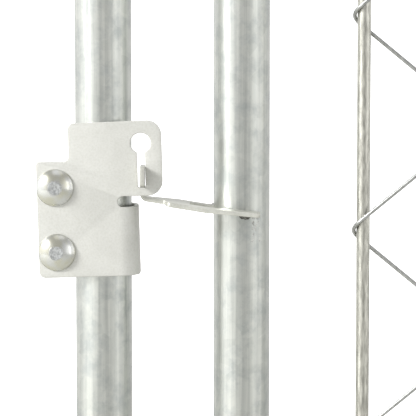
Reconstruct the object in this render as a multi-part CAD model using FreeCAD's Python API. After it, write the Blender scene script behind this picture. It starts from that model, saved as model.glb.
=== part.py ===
import FreeCAD, Part
import math
import os

# Wire-mesh panel gate: a tube frame with a hinged leaf filled with chain-link wire.
# Millimetres, +Z up. The origin is on the ground under the latch post, +X runs along
# the gate to the hinge post, and the leaf opens towards +Y.

V = FreeCAD.Vector
X, Y, Z = V(1, 0, 0), V(0, 1, 0), V(0, 0, 1)

# ---- tube and frame ---------------------------------------------------------------
TUBE_D = 25.0              # outside diameter of every tube
TUBE_WALL = 1.2
POST_TO_STILE = 61.2       # post axis to the leaf stile beside it, both sides
STILE_TO_ROD = 54.0        # stile axis to the tension rod
LEAF_GAP = 20.0            # clear gap above and below the leaf
SILL_Z = 42.0              # axis of the frame's bottom rail
POST_OVER_RAIL = 32.0      # post end above the top rail's axis
FOOT_BASE = 3.0            # thickness of a foot under the post
FOOT_WALL = 2.0
FOOT_H = 22.0
CAP_H = 14.0
CAP_WALL = 1.2
CAP_DOME = 4.0
PLUG_LIP = 2.0
PLUG_DEPTH = 12.0
PUSH_FIT = 0.05            # clearance of caps, feet and plugs
BEAD = 1.6                 # leg of a weld bead

# ---- chain-link mesh --------------------------------------------------------------
WIRE_D = 1.8
ROD_D = 6.0
ROD_HOLE_CLEARANCE = 0.1
REAR_HOLE_D = 7.0          # round hole in the rear flange
ROD_IN_RAIL = 5.0
MESH_PITCH = 95.2          # height of one turn of a spiral
SPIRAL_W = 53.2            # width of a spiral between the centres of its bends
SPIRALS = 13
HALF_TURNS = 24
WIRE_TO_ROD = 0.3          # gap between a bend and the rod inside it
WIRE_GAP = 0.8             # gap between two hooked bends
MESH_TO_RAIL = 24.0        # rail axis to the first hooked bends
TIE_D = 1.8
TIE_CLEARANCE = 0.7
TIE_DROP = 3.0             # centre of a tie's small end below the hooked bends

# ---- latch plate, in its own axes: u to the right, w up ---------------------------
SHEET = 2.0
LATCH_BAND = (-29.4, 0.9)  # lower and upper edge of the band round the post
FLANGE_TOP = 21.6
FLANGE_LEFT = -28.2
BODY_LEFT = -13.8
BODY_TOP = 38.3
BODY_TOP_RIGHT = 38.9      # the top edge rises a little to the right
EAR_RIGHT = 27.2
EAR_BOTTOM = 5.6
EAR_R = 6.5
RELIEF_R = 2.4             # relief between the ear and the band
RELIEF_X = 9.6
KEY_X = 18.0
KEY_HOLE_Z = 28.9
KEY_HOLE_D = 8.8
KEY_SLOT_W = 3.4
KEY_SLOT_END = 9.4
LATCH_LEAN = 1.6           # degrees that the plate leans, its top away from the leaf

# ---- band clamp, seen from above, round a post at (0, 0) --------------------------
BAND_LOOSE = 1.6           # gap between tube and band on the ear's side
BAND_SNUG = 0.47           # gap on the flange's side
BAND_BACK = 0.95           # gap behind the tube
CORNER_R = 6.0             # inside radius of the bend beside the ear
FLANGE_R = 0.1             # inside radius at the root of the rear flange

# ---- bolts ------------------------------------------------------------------------
BOLT_D = 6.0
BOLT_LEN = 16.0
BOLT_PITCH = 28.5
HEAD_D = 16.3
HEAD_H = 3.6
HEAD_FLAT_D = 5.6
HEAD_RIM = 0.5             # straight edge of the dome
HEAD_BULGE = (0.55, 2.55)  # the dome's arc passes this far out from its mean radius, and up
HEAD_DIP = 0.15            # hollow in the middle of the flat
SHANK_CHAMFER = 0.7
HOLE_CLEARANCE = 0.1
NUT_AF = 10.0
NUT_GAP = 0.13             # between a nut and the band
BOLT_X = -(TUBE_D / 2 + BAND_SNUG + SHEET + NUT_AF / 2 + NUT_GAP)   # bolt axis from the post axis
NUT_H = 5.0
NUT_CHAMFER = 1.0          # radial
NUT_CHAMFER_H = 0.98

# ---- strike -----------------------------------------------------------------------
STRIKE_FRONT = -21.0       # front edge of the strip
STRIKE_BACK = 4.0
STRIKE_Z = -1.2            # middle of the strip at the stile axis, in the plate's w
STRIKE_RISE = 5.3          # degrees that the strip rises towards the post at the stile
STRIKE_RISE_2 = 9.2        # the same beyond its bend
STRIKE_BEND_X = 45.0
STRIKE_OVERRUN = 7.9       # front leg past the stile axis
FORK_SLOT = (-12.5, -3.0)  # slot between the two legs
FORK_REACH = 23.0          # slot end from the stile axis
FORK_END_R = 2.0
SHOULDER_X = 28.4          # where the strip narrows to its neck
NECK_BACK = -4.5
NECK_START_X = 20.8
BACK_FULL_X = 33.0
TAB_X = 17.55              # middle of the upright tab
TAB_BEND_R = 1.2
NOSE_Z = (10.6, 19.4)
NOSE_R = 1.8
STOP_GAP = 0.3             # between the tab and the back of the latch plate
TACK_R = 2.6               # tack weld under the front leg
TACK_X = (-1.6, 4.2)       # its ends from the stile axis
TACK_DROP = (0.4, 1.0)     # the same below the leg
TACK_DEPTH = 0.6           # its axis inside the tube's face

# ---- hinges -----------------------------------------------------------------------
PIN_D = 8.0
PIN_CLEARANCE = 0.1        # radial, pin in its barrel
PIN_BEND_R = 9.0
PIN_OVER = 9.0             # pin beyond the barrel
BARREL_H = 24.0
BARREL_ARC = 300.0
HINGE_BAND = (-22.0, 22.0)
HINGE_FLANGE = -28.2
HINGE_FROM_END = 190.0     # leaf rail axis to hinge centre
WASHER_T = 1.6
WASHER_D = 16.0

TUBE_R = TUBE_D / 2
BORE_R = TUBE_R - TUBE_WALL
WIRE_R = WIRE_D / 2
ROD_R = ROD_D / 2

# ---- places worked out from the sizes above ---------------------------------------
BEND_R = ROD_R + WIRE_TO_ROD + WIRE_R           # bend of a spiral, to the wire's middle
HOOK = WIRE_R + WIRE_GAP / 2                    # a bend reaches this far past a hooked line
END_CELL = SPIRAL_W - BEND_R - HOOK             # rod to the first hooked line
CELL = SPIRAL_W - 2 * HOOK                      # between two hooked lines
ROD_SPAN = 2 * END_CELL + (SPIRALS - 2) * CELL
MESH_H = HALF_TURNS * MESH_PITCH / 2

LATCH_STILE_X = POST_TO_STILE
ROD_X = (LATCH_STILE_X + STILE_TO_ROD, LATCH_STILE_X + STILE_TO_ROD + ROD_SPAN)
HINGE_STILE_X = ROD_X[1] + STILE_TO_ROD
HINGE_POST_X = HINGE_STILE_X + POST_TO_STILE
LEAF_BOTTOM_Z = SILL_Z + TUBE_R + LEAF_GAP + TUBE_R
LEAF_TOP_Z = LEAF_BOTTOM_Z + MESH_H + 2 * MESH_TO_RAIL
FRAME_TOP_Z = LEAF_TOP_Z + TUBE_R + LEAF_GAP + TUBE_R
POST_TOP_Z = FRAME_TOP_Z + POST_OVER_RAIL
MESH_TOP_Z = LEAF_TOP_Z - MESH_TO_RAIL

TURNS_ABOVE_LATCH = 4.5    # spiral turns from the mesh's top to the bend beside the latch
LATCH_OVER_BEND = 10.1     # latch height above that bend
LATCH_Z = MESH_TOP_Z - TURNS_ABOVE_LATCH * MESH_PITCH + LATCH_OVER_BEND

FACE_Y = -TUBE_R                                # back of a plate that lies on the post
BARREL_R = PIN_D / 2 + PIN_CLEARANCE + SHEET / 2
PIN_Y = -FACE_Y + SHEET / 2 - BARREL_R
PIN_X = HINGE_POST_X - POST_TO_STILE / 2
HINGE_Z = (LEAF_BOTTOM_Z + HINGE_FROM_END, LEAF_TOP_Z - HINGE_FROM_END)


# ---- helpers ----------------------------------------------------------------------
def save(name, *solids):
    """Write one node, each solid kept apart."""
    parts = [part for solid in solids for part in solid.Solids]
    shape = parts[0] if len(parts) == 1 else Part.makeCompound(parts)
    shape.exportStep("parts/" + name + ".step")


def rod(radius, start, end):
    return Part.makeCylinder(radius, (end - start).Length, start, end - start)


def moved(shape, x=0.0, y=0.0, z=0.0):
    copy = shape.copy()
    copy.translate(V(x, y, z))
    return copy


def turned(shape, angle, axis=Z, centre=V(0, 0, 0)):
    copy = shape.copy()
    copy.rotate(centre, axis, angle)
    return copy


def outline(corners, place):
    """Closed wire through (a, b, radius) corners; place turns (a, b) into a point."""
    count = len(corners)
    points = [V(a, b, 0) for a, b, _ in corners]
    edges = []
    starts, ends = [], []
    for i in range(count):
        before = (points[i - 1] - points[i]).normalize()
        after = (points[(i + 1) % count] - points[i]).normalize()
        radius = corners[i][2]
        half = before.getAngle(after) / 2
        if radius == 0:
            starts.append(points[i])
            ends.append(points[i])
            continue
        reach = radius / math.tan(half)
        middle = points[i] + (before + after).normalize() * (radius / math.sin(half) - radius)
        start, end = points[i] + before * reach, points[i] + after * reach
        starts.append(start)
        ends.append(end)
        edges.append((i, Part.Arc(*[place(p.x, p.y) for p in (start, middle, end)]).toShape()))
    arcs = dict(edges)
    path = []
    for i in range(count):
        if i in arcs:
            path.append(arcs[i])
        leave, arrive = ends[i], starts[(i + 1) % count]
        if (arrive - leave).Length > 1e-6:
            path.append(Part.makeLine(place(leave.x, leave.y), place(arrive.x, arrive.y)))
    return Part.Wire(path)


def upright(a, b):
    return V(a, 0, b)


def level(a, b):
    return V(a, b, 0)


def side(a, b):
    return V(0, a, b)


def prism(corners, place, start, depth):
    """Solid of an outline, from start along depth."""
    wire = outline(corners, place)
    wire.translate(start)
    return Part.Face(wire).extrude(depth)


def strip(path, thickness, low, high):
    """Bent sheet seen from above: a run of lines and arcs, given its thickness and height.

    path holds points; a point after "arc" is the middle of an arc to the next one."""
    half = thickness / 2
    edges = []
    i = 0
    while i < len(path) - 1:
        if path[i + 1][0] == "arc":
            edges.append(Part.Arc(level(*path[i]), level(*path[i + 1][1:]), level(*path[i + 2])).toShape())
            i += 2
        else:
            edges.append(Part.makeLine(level(*path[i]), level(*path[i + 1])))
            i += 1
    spine = Part.Wire(edges)
    start = spine.Edges[0]
    across = start.tangentAt(start.FirstParameter).cross(Z) * half
    first = start.valueAt(start.FirstParameter)
    profile = Part.makePolygon([
        first + across + Z * low, first - across + Z * low,
        first - across + Z * high, first + across + Z * high, first + across + Z * low])
    return spine.makePipeShell([profile], True, False)


def arc_point(centre, radius, degrees):
    angle = math.radians(degrees)
    return centre[0] + radius * math.cos(angle), centre[1] + radius * math.sin(angle)


# ---- tubes ------------------------------------------------------------------------
def tube(start, end):
    return rod(TUBE_R, start, end).cut(rod(BORE_R, start, end))


def solid_bar(x):
    """The space that an upright tube fills, used to cope what meets it."""
    return rod(TUBE_R, V(x, 0, -50), V(x, 0, POST_TOP_Z + 50))


def rail(x_from, x_to, z):
    """Rail between two uprights, its ends coped to their round sides."""
    blank = tube(V(x_from, 0, z), V(x_to, 0, z))
    return blank.cut(solid_bar(x_from)).cut(solid_bar(x_to))


def rail_welds(x_from, x_to, heights):
    """A collar of weld where each rail end meets its upright."""
    beads = []
    for z in heights:
        for x, inward in ((x_from, 1), (x_to, -1)):
            collar = rod(TUBE_R + BEAD, V(x, 0, z), V(x + inward * (TUBE_R + BEAD), 0, z))
            hug = rod(TUBE_R + BEAD, V(x, 0, z - TUBE_D), V(x, 0, z + TUBE_D))
            bar = rod(TUBE_R, V(x, 0, z), V(x + inward * TUBE_D, 0, z))
            beads.append(collar.common(hug).cut(solid_bar(x)).cut(bar))
    return beads


def rail_with_rod_holes(x_from, x_to, z, inward):
    """Leaf rail drilled on its inner side for the two tension rods."""
    shape = rail(x_from, x_to, z)
    for x in ROD_X:
        hole = rod(ROD_R + ROD_HOLE_CLEARANCE, V(x, 0, z), V(x, 0, z + inward * TUBE_D))
        shape = shape.cut(hole)
    return shape


def post_foot(x):
    """Moulded foot: a cup under the post's open end."""
    cup = Part.makeCylinder(TUBE_R + FOOT_WALL, FOOT_H, V(x, 0, 0), Z)
    cup = cup.makeFillet(1.0, [e for e in cup.Edges if e.Length > TUBE_D])
    bore = Part.makeCylinder(TUBE_R + PUSH_FIT, FOOT_H, V(x, 0, FOOT_BASE), Z)
    return cup.cut(bore)


def post_cap(x):
    """Pressed cap with a shallow dome, over the post's top end."""
    base = POST_TOP_Z - CAP_H

    def bell(radius, start, rise):
        ball_r = (radius ** 2 + rise ** 2) / (2 * rise)
        ball = Part.makeSphere(ball_r, V(x, 0, POST_TOP_Z + rise - ball_r))
        barrel = Part.makeCylinder(radius, POST_TOP_Z + rise + 1 - start, V(x, 0, start), Z)
        shaft = Part.makeCylinder(radius, POST_TOP_Z - start, V(x, 0, start), Z)
        return shaft.fuse(ball.common(barrel)).removeSplitter()

    outer = bell(TUBE_R + PUSH_FIT + CAP_WALL, base, CAP_DOME + CAP_WALL)
    return outer.cut(bell(TUBE_R + PUSH_FIT, base - 1, CAP_DOME))


def stile_plug(x, z, outward):
    """Moulded plug in a stile's open end."""
    body = rod(BORE_R - PUSH_FIT, V(x, 0, z), V(x, 0, z - outward * PLUG_DEPTH))
    lip = rod(TUBE_R, V(x, 0, z), V(x, 0, z + outward * PLUG_LIP))
    lip = lip.makeFillet(0.8, [e for e in lip.Edges
                               if abs(e.BoundBox.Center.z - z - outward * PLUG_LIP) < 0.01
                               and e.Length > TUBE_D])
    return body.fuse(lip).removeSplitter()


# ---- band clamp and plates --------------------------------------------------------
def band_path(flange_end):
    """Middle line of a band, from the ear's side round the post to the rear flange."""
    half = SHEET / 2
    right = TUBE_R + BAND_LOOSE + half
    left = -(TUBE_R + BAND_SNUG + half)
    front = FACE_Y - half
    back_r = (right - left) / 2
    back_c = ((right + left) / 2, TUBE_R + BAND_BACK + half - back_r)
    corner_r = CORNER_R + half
    corner_c = (right - corner_r, front + corner_r)
    root_r = FLANGE_R + half
    rear = FACE_Y + half
    root_c = (left - root_r, rear + root_r)
    return corner_c[0], [
        (corner_c[0], front),
        ("arc",) + arc_point(corner_c, corner_r, -45), (right, corner_c[1]),
        (right, back_c[1]),
        ("arc",) + arc_point(back_c, back_r, 90), (left, back_c[1]),
        (left, root_c[1]),
        ("arc",) + arc_point(root_c, root_r, -45), (root_c[0], rear),
        (flange_end, rear)]


def bolt_holes(heights):
    """Cutters for the flange: square through the front sheet, round through the rear."""
    cutters = []
    for z in heights:
        side_len = BOLT_D + 2 * HOLE_CLEARANCE
        cutters.append(Part.makeBox(side_len, SHEET + 1, side_len,
                                    V(BOLT_X - side_len / 2, FACE_Y - SHEET - 1, z - side_len / 2)))
        cutters.append(Part.makeCylinder(REAR_HOLE_D / 2, SHEET + 1, V(BOLT_X, FACE_Y, z), Y))
    return cutters


def front_leaf(split_x):
    """Flat front of the latch plate, with its keyhole."""
    low = LATCH_BAND[0]
    corners = [
        (FLANGE_LEFT, low, 2.8), (FLANGE_LEFT, FLANGE_TOP, 1.3),
        (BODY_LEFT, FLANGE_TOP, 2.6), (BODY_LEFT, BODY_TOP, 2.5),
        (EAR_RIGHT, BODY_TOP_RIGHT, EAR_R), (EAR_RIGHT, EAR_BOTTOM, EAR_R),
        (split_x, EAR_BOTTOM, 0), (split_x, low, 0)]
    leaf = prism(corners, upright, V(0, FACE_Y - SHEET, 0), Y * SHEET)
    half = KEY_SLOT_W / 2
    slot = prism([(KEY_X - half, KEY_HOLE_Z, 0), (KEY_X + half, KEY_HOLE_Z, 0),
                  (KEY_X + half, KEY_SLOT_END, 0.9), (KEY_X - half, KEY_SLOT_END, 0.9)],
                 upright, V(0, FACE_Y - 2 * SHEET, 0), Y * 3 * SHEET)
    hole = Part.makeCylinder(KEY_HOLE_D / 2, 3 * SHEET, V(KEY_X, FACE_Y - 2 * SHEET, KEY_HOLE_Z), Y)
    return leaf.cut(hole.fuse(slot))


def latch_bolt_heights():
    middle = (LATCH_BAND[0] + FLANGE_TOP) / 2
    return middle - BOLT_PITCH / 2, middle + BOLT_PITCH / 2


def lean(shape):
    """Lean a piece with the latch plate and lift it to the latch's height."""
    pivot = V(0, 0, (LATCH_BAND[0] + LATCH_BAND[1]) / 2)
    return moved(turned(shape, -LATCH_LEAN, Y, pivot), z=LATCH_Z)


def latch_plate():
    split_x, path = band_path(FLANGE_LEFT)
    low, high = LATCH_BAND
    band = strip(path, SHEET, low, FLANGE_TOP)
    above = prism([(-7, FLANGE_TOP + 1, 0), (2, high, 3), (60, high, 0), (60, FLANGE_TOP + 1, 0)],
                  upright, V(0, -40, 0), Y * 80)
    band = band.cut(above)
    trim = prism([(FLANGE_LEFT - 9, low - 9, 0), (FLANGE_LEFT - 9, FLANGE_TOP + 9, 0),
                  (40, FLANGE_TOP + 9, 0), (40, low - 9, 0)], upright, V(0, -40, 0), Y * 80)
    keep = prism([(FLANGE_LEFT, low, 2.8), (FLANGE_LEFT, FLANGE_TOP, 1.3),
                  (40, FLANGE_TOP, 0), (40, low, 0)], upright, V(0, -40, 0), Y * 80)
    band = band.cut(trim.cut(keep))
    plate = front_leaf(split_x).fuse(band).removeSplitter()
    relief_top, relief_low = high + 2 * RELIEF_R, high
    relief = prism([(RELIEF_X - RELIEF_R, relief_low, RELIEF_R * 0.999),
                    (RELIEF_X - RELIEF_R, relief_top, RELIEF_R * 0.999),
                    (40, relief_top, 0), (40, relief_low, 0)],
                   upright, V(0, FACE_Y - 2 * SHEET, 0), Y * (CORNER_R + 3 * SHEET))
    plate = plate.cut(relief)
    for cutter in bolt_holes(latch_bolt_heights()):
        plate = plate.cut(cutter)
    return plate


def hinge_clamp(z):
    """Clamp like the latch plate's, turned round, its front sheet curled into a barrel."""
    split_x, path = band_path(HINGE_FLANGE)
    low, high = HINGE_BAND
    band = strip(path, SHEET, low, high)
    front = prism([(HINGE_FLANGE, low, 2.5), (HINGE_FLANGE, high, 2.5), (split_x, high, 0),
                   (split_x, low, 0)], upright, V(0, FACE_Y - SHEET, 0), Y * SHEET)
    body = front.fuse(band)
    barrel_x = HINGE_POST_X - PIN_X
    centre = (barrel_x, FACE_Y - SHEET / 2 + BARREL_R)
    end = -90 + BARREL_ARC
    start = (split_x - 1, FACE_Y - SHEET / 2)
    curl = strip([start, (barrel_x, start[1]),
                  ("arc",) + arc_point(centre, BARREL_R, -90 + BARREL_ARC / 2),
                  arc_point(centre, BARREL_R, end)], SHEET, -BARREL_H / 2, BARREL_H / 2)
    notch_x = split_x + 0.5
    for z_from, z_to in ((-BARREL_H / 2 - RELIEF_R, -BARREL_H / 2),
                         (BARREL_H / 2, BARREL_H / 2 + RELIEF_R)):
        body = body.cut(Part.makeBox(40, CORNER_R + 2 * SHEET, z_to - z_from,
                                     V(notch_x, FACE_Y - 2 * SHEET, z_from)))
    window = Part.makeBox(40, CORNER_R + 3 * SHEET, BARREL_H,
                          V(split_x, FACE_Y - 2 * SHEET, -BARREL_H / 2))
    body = body.cut(window).fuse(curl).removeSplitter()
    for cutter in bolt_holes(hinge_bolt_heights()):
        body = body.cut(cutter)
    return at_hinge_post(body, z)


def hinge_bolt_heights():
    return -BOLT_PITCH / 2, BOLT_PITCH / 2


def at_hinge_post(shape, z):
    return moved(turned(shape, 180), HINGE_POST_X, 0, z)


# ---- bolts and nuts ---------------------------------------------------------------
def carriage_bolt(z):
    """Cup square bolt, head in front of the flange, its dome flattened in the middle."""
    under = FACE_Y - SHEET
    top = under - HEAD_H
    flat = HEAD_FLAT_D / 2
    rim = HEAD_D / 2
    wire = Part.Wire([
        Part.makeLine(V(0, under, 0), V(rim, under, 0)),
        Part.makeLine(V(rim, under, 0), V(rim, under - HEAD_RIM, 0)),
        Part.Arc(V(rim, under - HEAD_RIM, 0),
                 V((rim + flat) / 2 + HEAD_BULGE[0], under - HEAD_BULGE[1], 0),
                 V(flat, top, 0)).toShape(),
        Part.makeLine(V(flat, top, 0), V(0, top + HEAD_DIP, 0)),
        Part.makeLine(V(0, top + HEAD_DIP, 0), V(0, under, 0))])
    head = Part.Face(wire).revolve(V(0, 0, 0), Y, 360)
    neck = Part.makeBox(BOLT_D, SHEET, BOLT_D, V(-BOLT_D / 2, under, -BOLT_D / 2))
    shank = Part.makeCylinder(BOLT_D / 2, BOLT_LEN, V(0, under, 0), Y)
    shank = shank.makeChamfer(SHANK_CHAMFER, [e for e in shank.Edges
                                        if abs(e.BoundBox.YMin - under - BOLT_LEN) < 0.01])
    bolt = head.fuse([neck, shank]).removeSplitter()
    return moved(bolt, BOLT_X, 0, z)


def nut(z):
    """Hexagon nut on the rear flange, flats towards the band, its bore on the shank."""
    corner = NUT_AF / math.sqrt(3)
    seat = FACE_Y + SHEET
    ring = [V(corner * math.cos(math.radians(60 * k + 30)), seat,
              corner * math.sin(math.radians(60 * k + 30))) for k in range(7)]
    block = Part.Face(Part.makePolygon(ring)).extrude(Y * NUT_H)
    straight = NUT_H - NUT_CHAMFER_H
    cone = Part.makeCone(corner, corner - NUT_CHAMFER, NUT_CHAMFER_H, V(0, seat + straight, 0), Y)
    body = Part.makeCylinder(corner, straight, V(0, seat, 0), Y)
    block = block.common(body.fuse(cone))
    bore = Part.makeCylinder(BOLT_D / 2, NUT_H + 2, V(0, seat - 1, 0), Y)
    return moved(block.cut(bore), BOLT_X, 0, z)


# ---- strike -----------------------------------------------------------------------
def strike():
    """Strip welded to the latch stile: forked end, neck, and a tab bent up with its nose."""
    rise, rise_2 = math.tan(math.radians(STRIKE_RISE)), math.tan(math.radians(STRIKE_RISE_2))
    stile = LATCH_STILE_X
    far = stile + STRIKE_OVERRUN

    def middle(x):
        if x > STRIKE_BEND_X:
            return STRIKE_Z + (stile - x) * rise
        return STRIKE_Z + (stile - STRIKE_BEND_X) * rise + (STRIKE_BEND_X - x) * rise_2

    # the strip's edge view: its middle line, then its two faces half a sheet each side
    half = SHEET / 2
    turn = math.radians(90 - STRIKE_RISE_2)
    bend_r = TAB_BEND_R + half
    reach = bend_r * math.tan(turn / 2)
    foot = V(TAB_X, 0, middle(TAB_X))
    along = V(math.cos(math.radians(STRIKE_RISE_2)), 0, -math.sin(math.radians(STRIKE_RISE_2)))
    bend_from, bend_to = foot + along * reach, foot + Z * reach
    centre = bend_to + X * bend_r
    mid_dir = (foot - centre).normalize()
    path = [Part.makeLine(V(far, 0, middle(far)), V(STRIKE_BEND_X, 0, middle(STRIKE_BEND_X))),
            Part.makeLine(V(STRIKE_BEND_X, 0, middle(STRIKE_BEND_X)), bend_from),
            Part.Arc(bend_from, centre + mid_dir * bend_r, bend_to).toShape(),
            Part.makeLine(bend_to, V(TAB_X, 0, NOSE_Z[1]))]
    spine = Part.Wire(path)
    width = STRIKE_BACK - STRIKE_FRONT
    lie = V(far, 0, middle(far)) - V(STRIKE_BEND_X, 0, middle(STRIKE_BEND_X))
    across = lie.normalize().cross(Y) * half
    end = V(far, STRIKE_FRONT, middle(far))
    profile = Part.makePolygon([end + across, end - across, end - across + Y * width,
                                end + across + Y * width, end + across])
    sheet = spine.makePipeShell([profile], True, False, 1)

    neck_front = FACE_Y + STOP_GAP
    plan = prism([
        (TAB_X - 10, neck_front, 0), (SHOULDER_X - 1.2, neck_front, 0.8),
        (SHOULDER_X, STRIKE_FRONT, 2.0), (far, STRIKE_FRONT, 1.5), (far, STRIKE_BACK, 0),
        (BACK_FULL_X, STRIKE_BACK, 5.0), (NECK_START_X, NECK_BACK, 5.0),
        (TAB_X - 10, NECK_BACK, 0)], level, V(0, 0, -20), Z * 60)
    tab = prism([
        (STRIKE_FRONT, NOSE_Z[0], NOSE_R), (STRIKE_FRONT, NOSE_Z[1], NOSE_R),
        (NECK_BACK, NOSE_Z[1], 3.0), (NECK_BACK, -10, 0), (neck_front, -10, 0),
        (neck_front, NOSE_Z[0], 0.4)], side, V(TAB_X - 10, 0, 0), X * 12)
    beyond = Part.makeBox(80, 80, 80, V(TAB_X + 2, -40, -40))
    shape = sheet.common(plan.common(beyond).fuse(tab))
    slot_from, slot_to = FORK_SLOT
    slot = prism([(stile - FORK_REACH, slot_from, FORK_END_R), (stile, slot_from, 0),
                  (stile, slot_to, 0), (stile - FORK_REACH, slot_to, FORK_END_R)],
                 level, V(0, 0, -20), Z * 60)
    tube_space = Part.makeCylinder(TUBE_R, 120, V(stile, 0, -60), Z)
    rear_end = Part.makeBox(40, 30, 60, V(stile - 2, slot_to, -30))
    shape = shape.cut(slot).cut(tube_space).cut(rear_end)
    largest = max(shape.Solids, key=lambda solid: solid.Volume)
    return moved(largest, z=LATCH_Z)


def strike_welds(strike_shape):
    """Weld under the front leg, where it crosses the tube, and at the rear leg's end."""
    stile = LATCH_STILE_X
    tube_space = solid_bar(stile)
    under = LATCH_Z + STRIKE_Z - SHEET / 2
    front = rod(TACK_R, V(stile + TACK_X[0], TACK_DEPTH - TUBE_R, under - TACK_DROP[0]),
                V(stile + TACK_X[1], TACK_DEPTH - TUBE_R, under - TACK_DROP[1]))
    front = front.cut(tube_space).cut(strike_shape)
    rise = math.tan(math.radians(STRIKE_RISE))
    rear_z = LATCH_Z + STRIKE_Z + TUBE_R * rise
    rear = rod(SHEET / 2 + BEAD / 2, V(stile - TUBE_R - 0.6, FORK_SLOT[1] + 0.8, rear_z),
               V(stile - TUBE_R - 0.6, STRIKE_BACK - 0.8, rear_z))
    rear = rear.cut(tube_space).cut(strike_shape)
    return [max(front.Solids, key=lambda solid: solid.Volume)] + list(rear.Solids)


# ---- mesh -------------------------------------------------------------------------
def spiral():
    """One flattened spiral of wire, about x = 0, from a hooked bend on its +X side at z = 0
    down to its last bend. Each bend turns in four steps of 45 degrees."""
    reach = SPIRAL_W / 2
    corner = BEND_R / math.cos(math.radians(22.5))
    centre_x = reach - BEND_R
    steps = (-67.5, -22.5, 22.5, 67.5)
    plan = []
    for turn in range(HALF_TURNS + 1):
        sign = 1 if turn % 2 == 0 else -1
        for step in steps:
            angle = math.radians(-step)
            plan.append((sign * (centre_x + corner * math.cos(angle)),
                         sign * corner * math.sin(angle)))
    first, last = 1, len(plan) - 1
    plan = plan[first:last]
    lengths = [0.0]
    for a, b in zip(plan, plan[1:]):
        lengths.append(lengths[-1] + math.dist(a, b))
    drop = MESH_H / lengths[-1]
    points = [V(x, y, -length * drop) for (x, y), length in zip(plan, lengths)]
    spine = Part.makePolygon(points)
    heading = points[1] - points[0]
    ring = Part.Wire(Part.makeCircle(WIRE_R, points[0], heading))
    return spine.makePipeShell([ring], True, False, 1)


def mesh_lines():
    """X of the two rods and of every hooked line between them."""
    lines = [ROD_X[0], ROD_X[0] + END_CELL]
    for _ in range(SPIRALS - 2):
        lines.append(lines[-1] + CELL)
    return lines + [ROD_X[1]]


def mesh_wires():
    lines = mesh_lines()
    pattern = spiral()
    wires = []
    for k in range(SPIRALS):
        left = lines[k] - (BEND_R if k == 0 else HOOK)
        centre = left + SPIRAL_W / 2
        shape = pattern if k % 2 == 0 else turned(pattern, 180)
        wires.append(moved(shape, centre, 0, MESH_TOP_Z))
    return wires


def tie_wires(rail_z, inward):
    """Loops of wire that hang the mesh on a rail, one at each hooked line at its edge."""
    big = TUBE_R + TIE_CLEARANCE + TIE_D / 2
    small = BEND_R + WIRE_R + TIE_CLEARANCE + TIE_D / 2
    far = MESH_TO_RAIL + TIE_DROP
    lean_angle = math.asin((big - small) / far)
    upper = V(0, 0, 0)
    lower = V(0, 0, inward * far)

    def on(centre, radius, degrees, flip):
        angle = math.radians(degrees)
        return centre + V(0, flip * radius * math.cos(angle), inward * radius * math.sin(angle))

    tilt = math.degrees(lean_angle)
    loop = Part.Wire([
        Part.Arc(on(upper, big, tilt, 1), on(upper, big, -90, 1), on(upper, big, tilt, -1)).toShape(),
        Part.makeLine(on(upper, big, tilt, -1), on(lower, small, tilt, -1)),
        Part.Arc(on(lower, small, tilt, -1), on(lower, small, 90, 1), on(lower, small, tilt, 1)).toShape(),
        Part.makeLine(on(lower, small, tilt, 1), on(upper, big, tilt, 1))])
    start = on(upper, big, tilt, 1)
    edge = loop.Edges[0]
    ring = Part.Wire(Part.makeCircle(TIE_D / 2, start, edge.tangentAt(edge.FirstParameter)))
    tie = loop.makePipeShell([ring], True, False)
    lines = mesh_lines()
    return [moved(tie, lines[k], 0, rail_z) for k in range(1, SPIRALS, 2)]


def tension_rod(x):
    low = LEAF_BOTTOM_Z + TUBE_R - ROD_IN_RAIL
    high = LEAF_TOP_Z - TUBE_R + ROD_IN_RAIL
    return rod(ROD_R, V(x, 0, low), V(x, 0, high))


def rod_welds():
    """A ring of weld round each rod end."""
    beads = []
    for z, inward in ((LEAF_BOTTOM_Z, 1), (LEAF_TOP_Z, -1)):
        bar = rod(TUBE_R, V(0, 0, z), V(HINGE_STILE_X, 0, z))
        for x in ROD_X:
            base = z + inward * (TUBE_R - 1.5)
            cone = Part.makeCone(ROD_R + 2.2, ROD_R + 0.3, 3.2, V(x, 0, base), Z * inward)
            core = rod(ROD_R, V(x, 0, base - inward * 3), V(x, 0, base + inward * 8))
            beads.append(cone.cut(bar).cut(core))
    return beads


# ---- hinge pins -------------------------------------------------------------------
def hinge_pin(z, up):
    """Bent pin on the leaf: its arm is welded to the stile, its shank stands in a barrel."""
    stile = V(HINGE_STILE_X, 0, 0)
    toward = (V(PIN_X, PIN_Y, 0) - stile)
    flat = toward.Length
    toward.normalize()
    seat = z - up * (BARREL_H / 2 + WASHER_T)
    arm_z = seat - up * PIN_BEND_R
    tip_z = z + up * (BARREL_H / 2 + PIN_OVER)
    start = stile + V(0, 0, arm_z)
    bend_from = start + toward * (flat - PIN_BEND_R)
    bend_to = stile + toward * flat + V(0, 0, seat)
    centre = bend_from + Z * up * PIN_BEND_R
    out = (toward - Z * up).normalize() * PIN_BEND_R
    spine = Part.Wire([
        Part.makeLine(start, bend_from),
        Part.Arc(bend_from, centre + out, bend_to).toShape(),
        Part.makeLine(bend_to, stile + toward * flat + V(0, 0, tip_z))])
    ring = Part.Wire(Part.makeCircle(PIN_D / 2, start, toward))
    pin = spine.makePipeShell([ring], True, False)
    return pin.cut(solid_bar(HINGE_STILE_X)), arm_z, toward


def pin_weld(pin, arm_z, toward):
    """Weld collar where a pin's arm meets the stile."""
    start = V(HINGE_STILE_X, 0, arm_z) + toward * (TUBE_R - 1)
    bead = Part.makeCone(PIN_D / 2 + 2.0, PIN_D / 2 + 0.3, 3.6, start, toward)
    return bead.cut(solid_bar(HINGE_STILE_X)).cut(pin)


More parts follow.
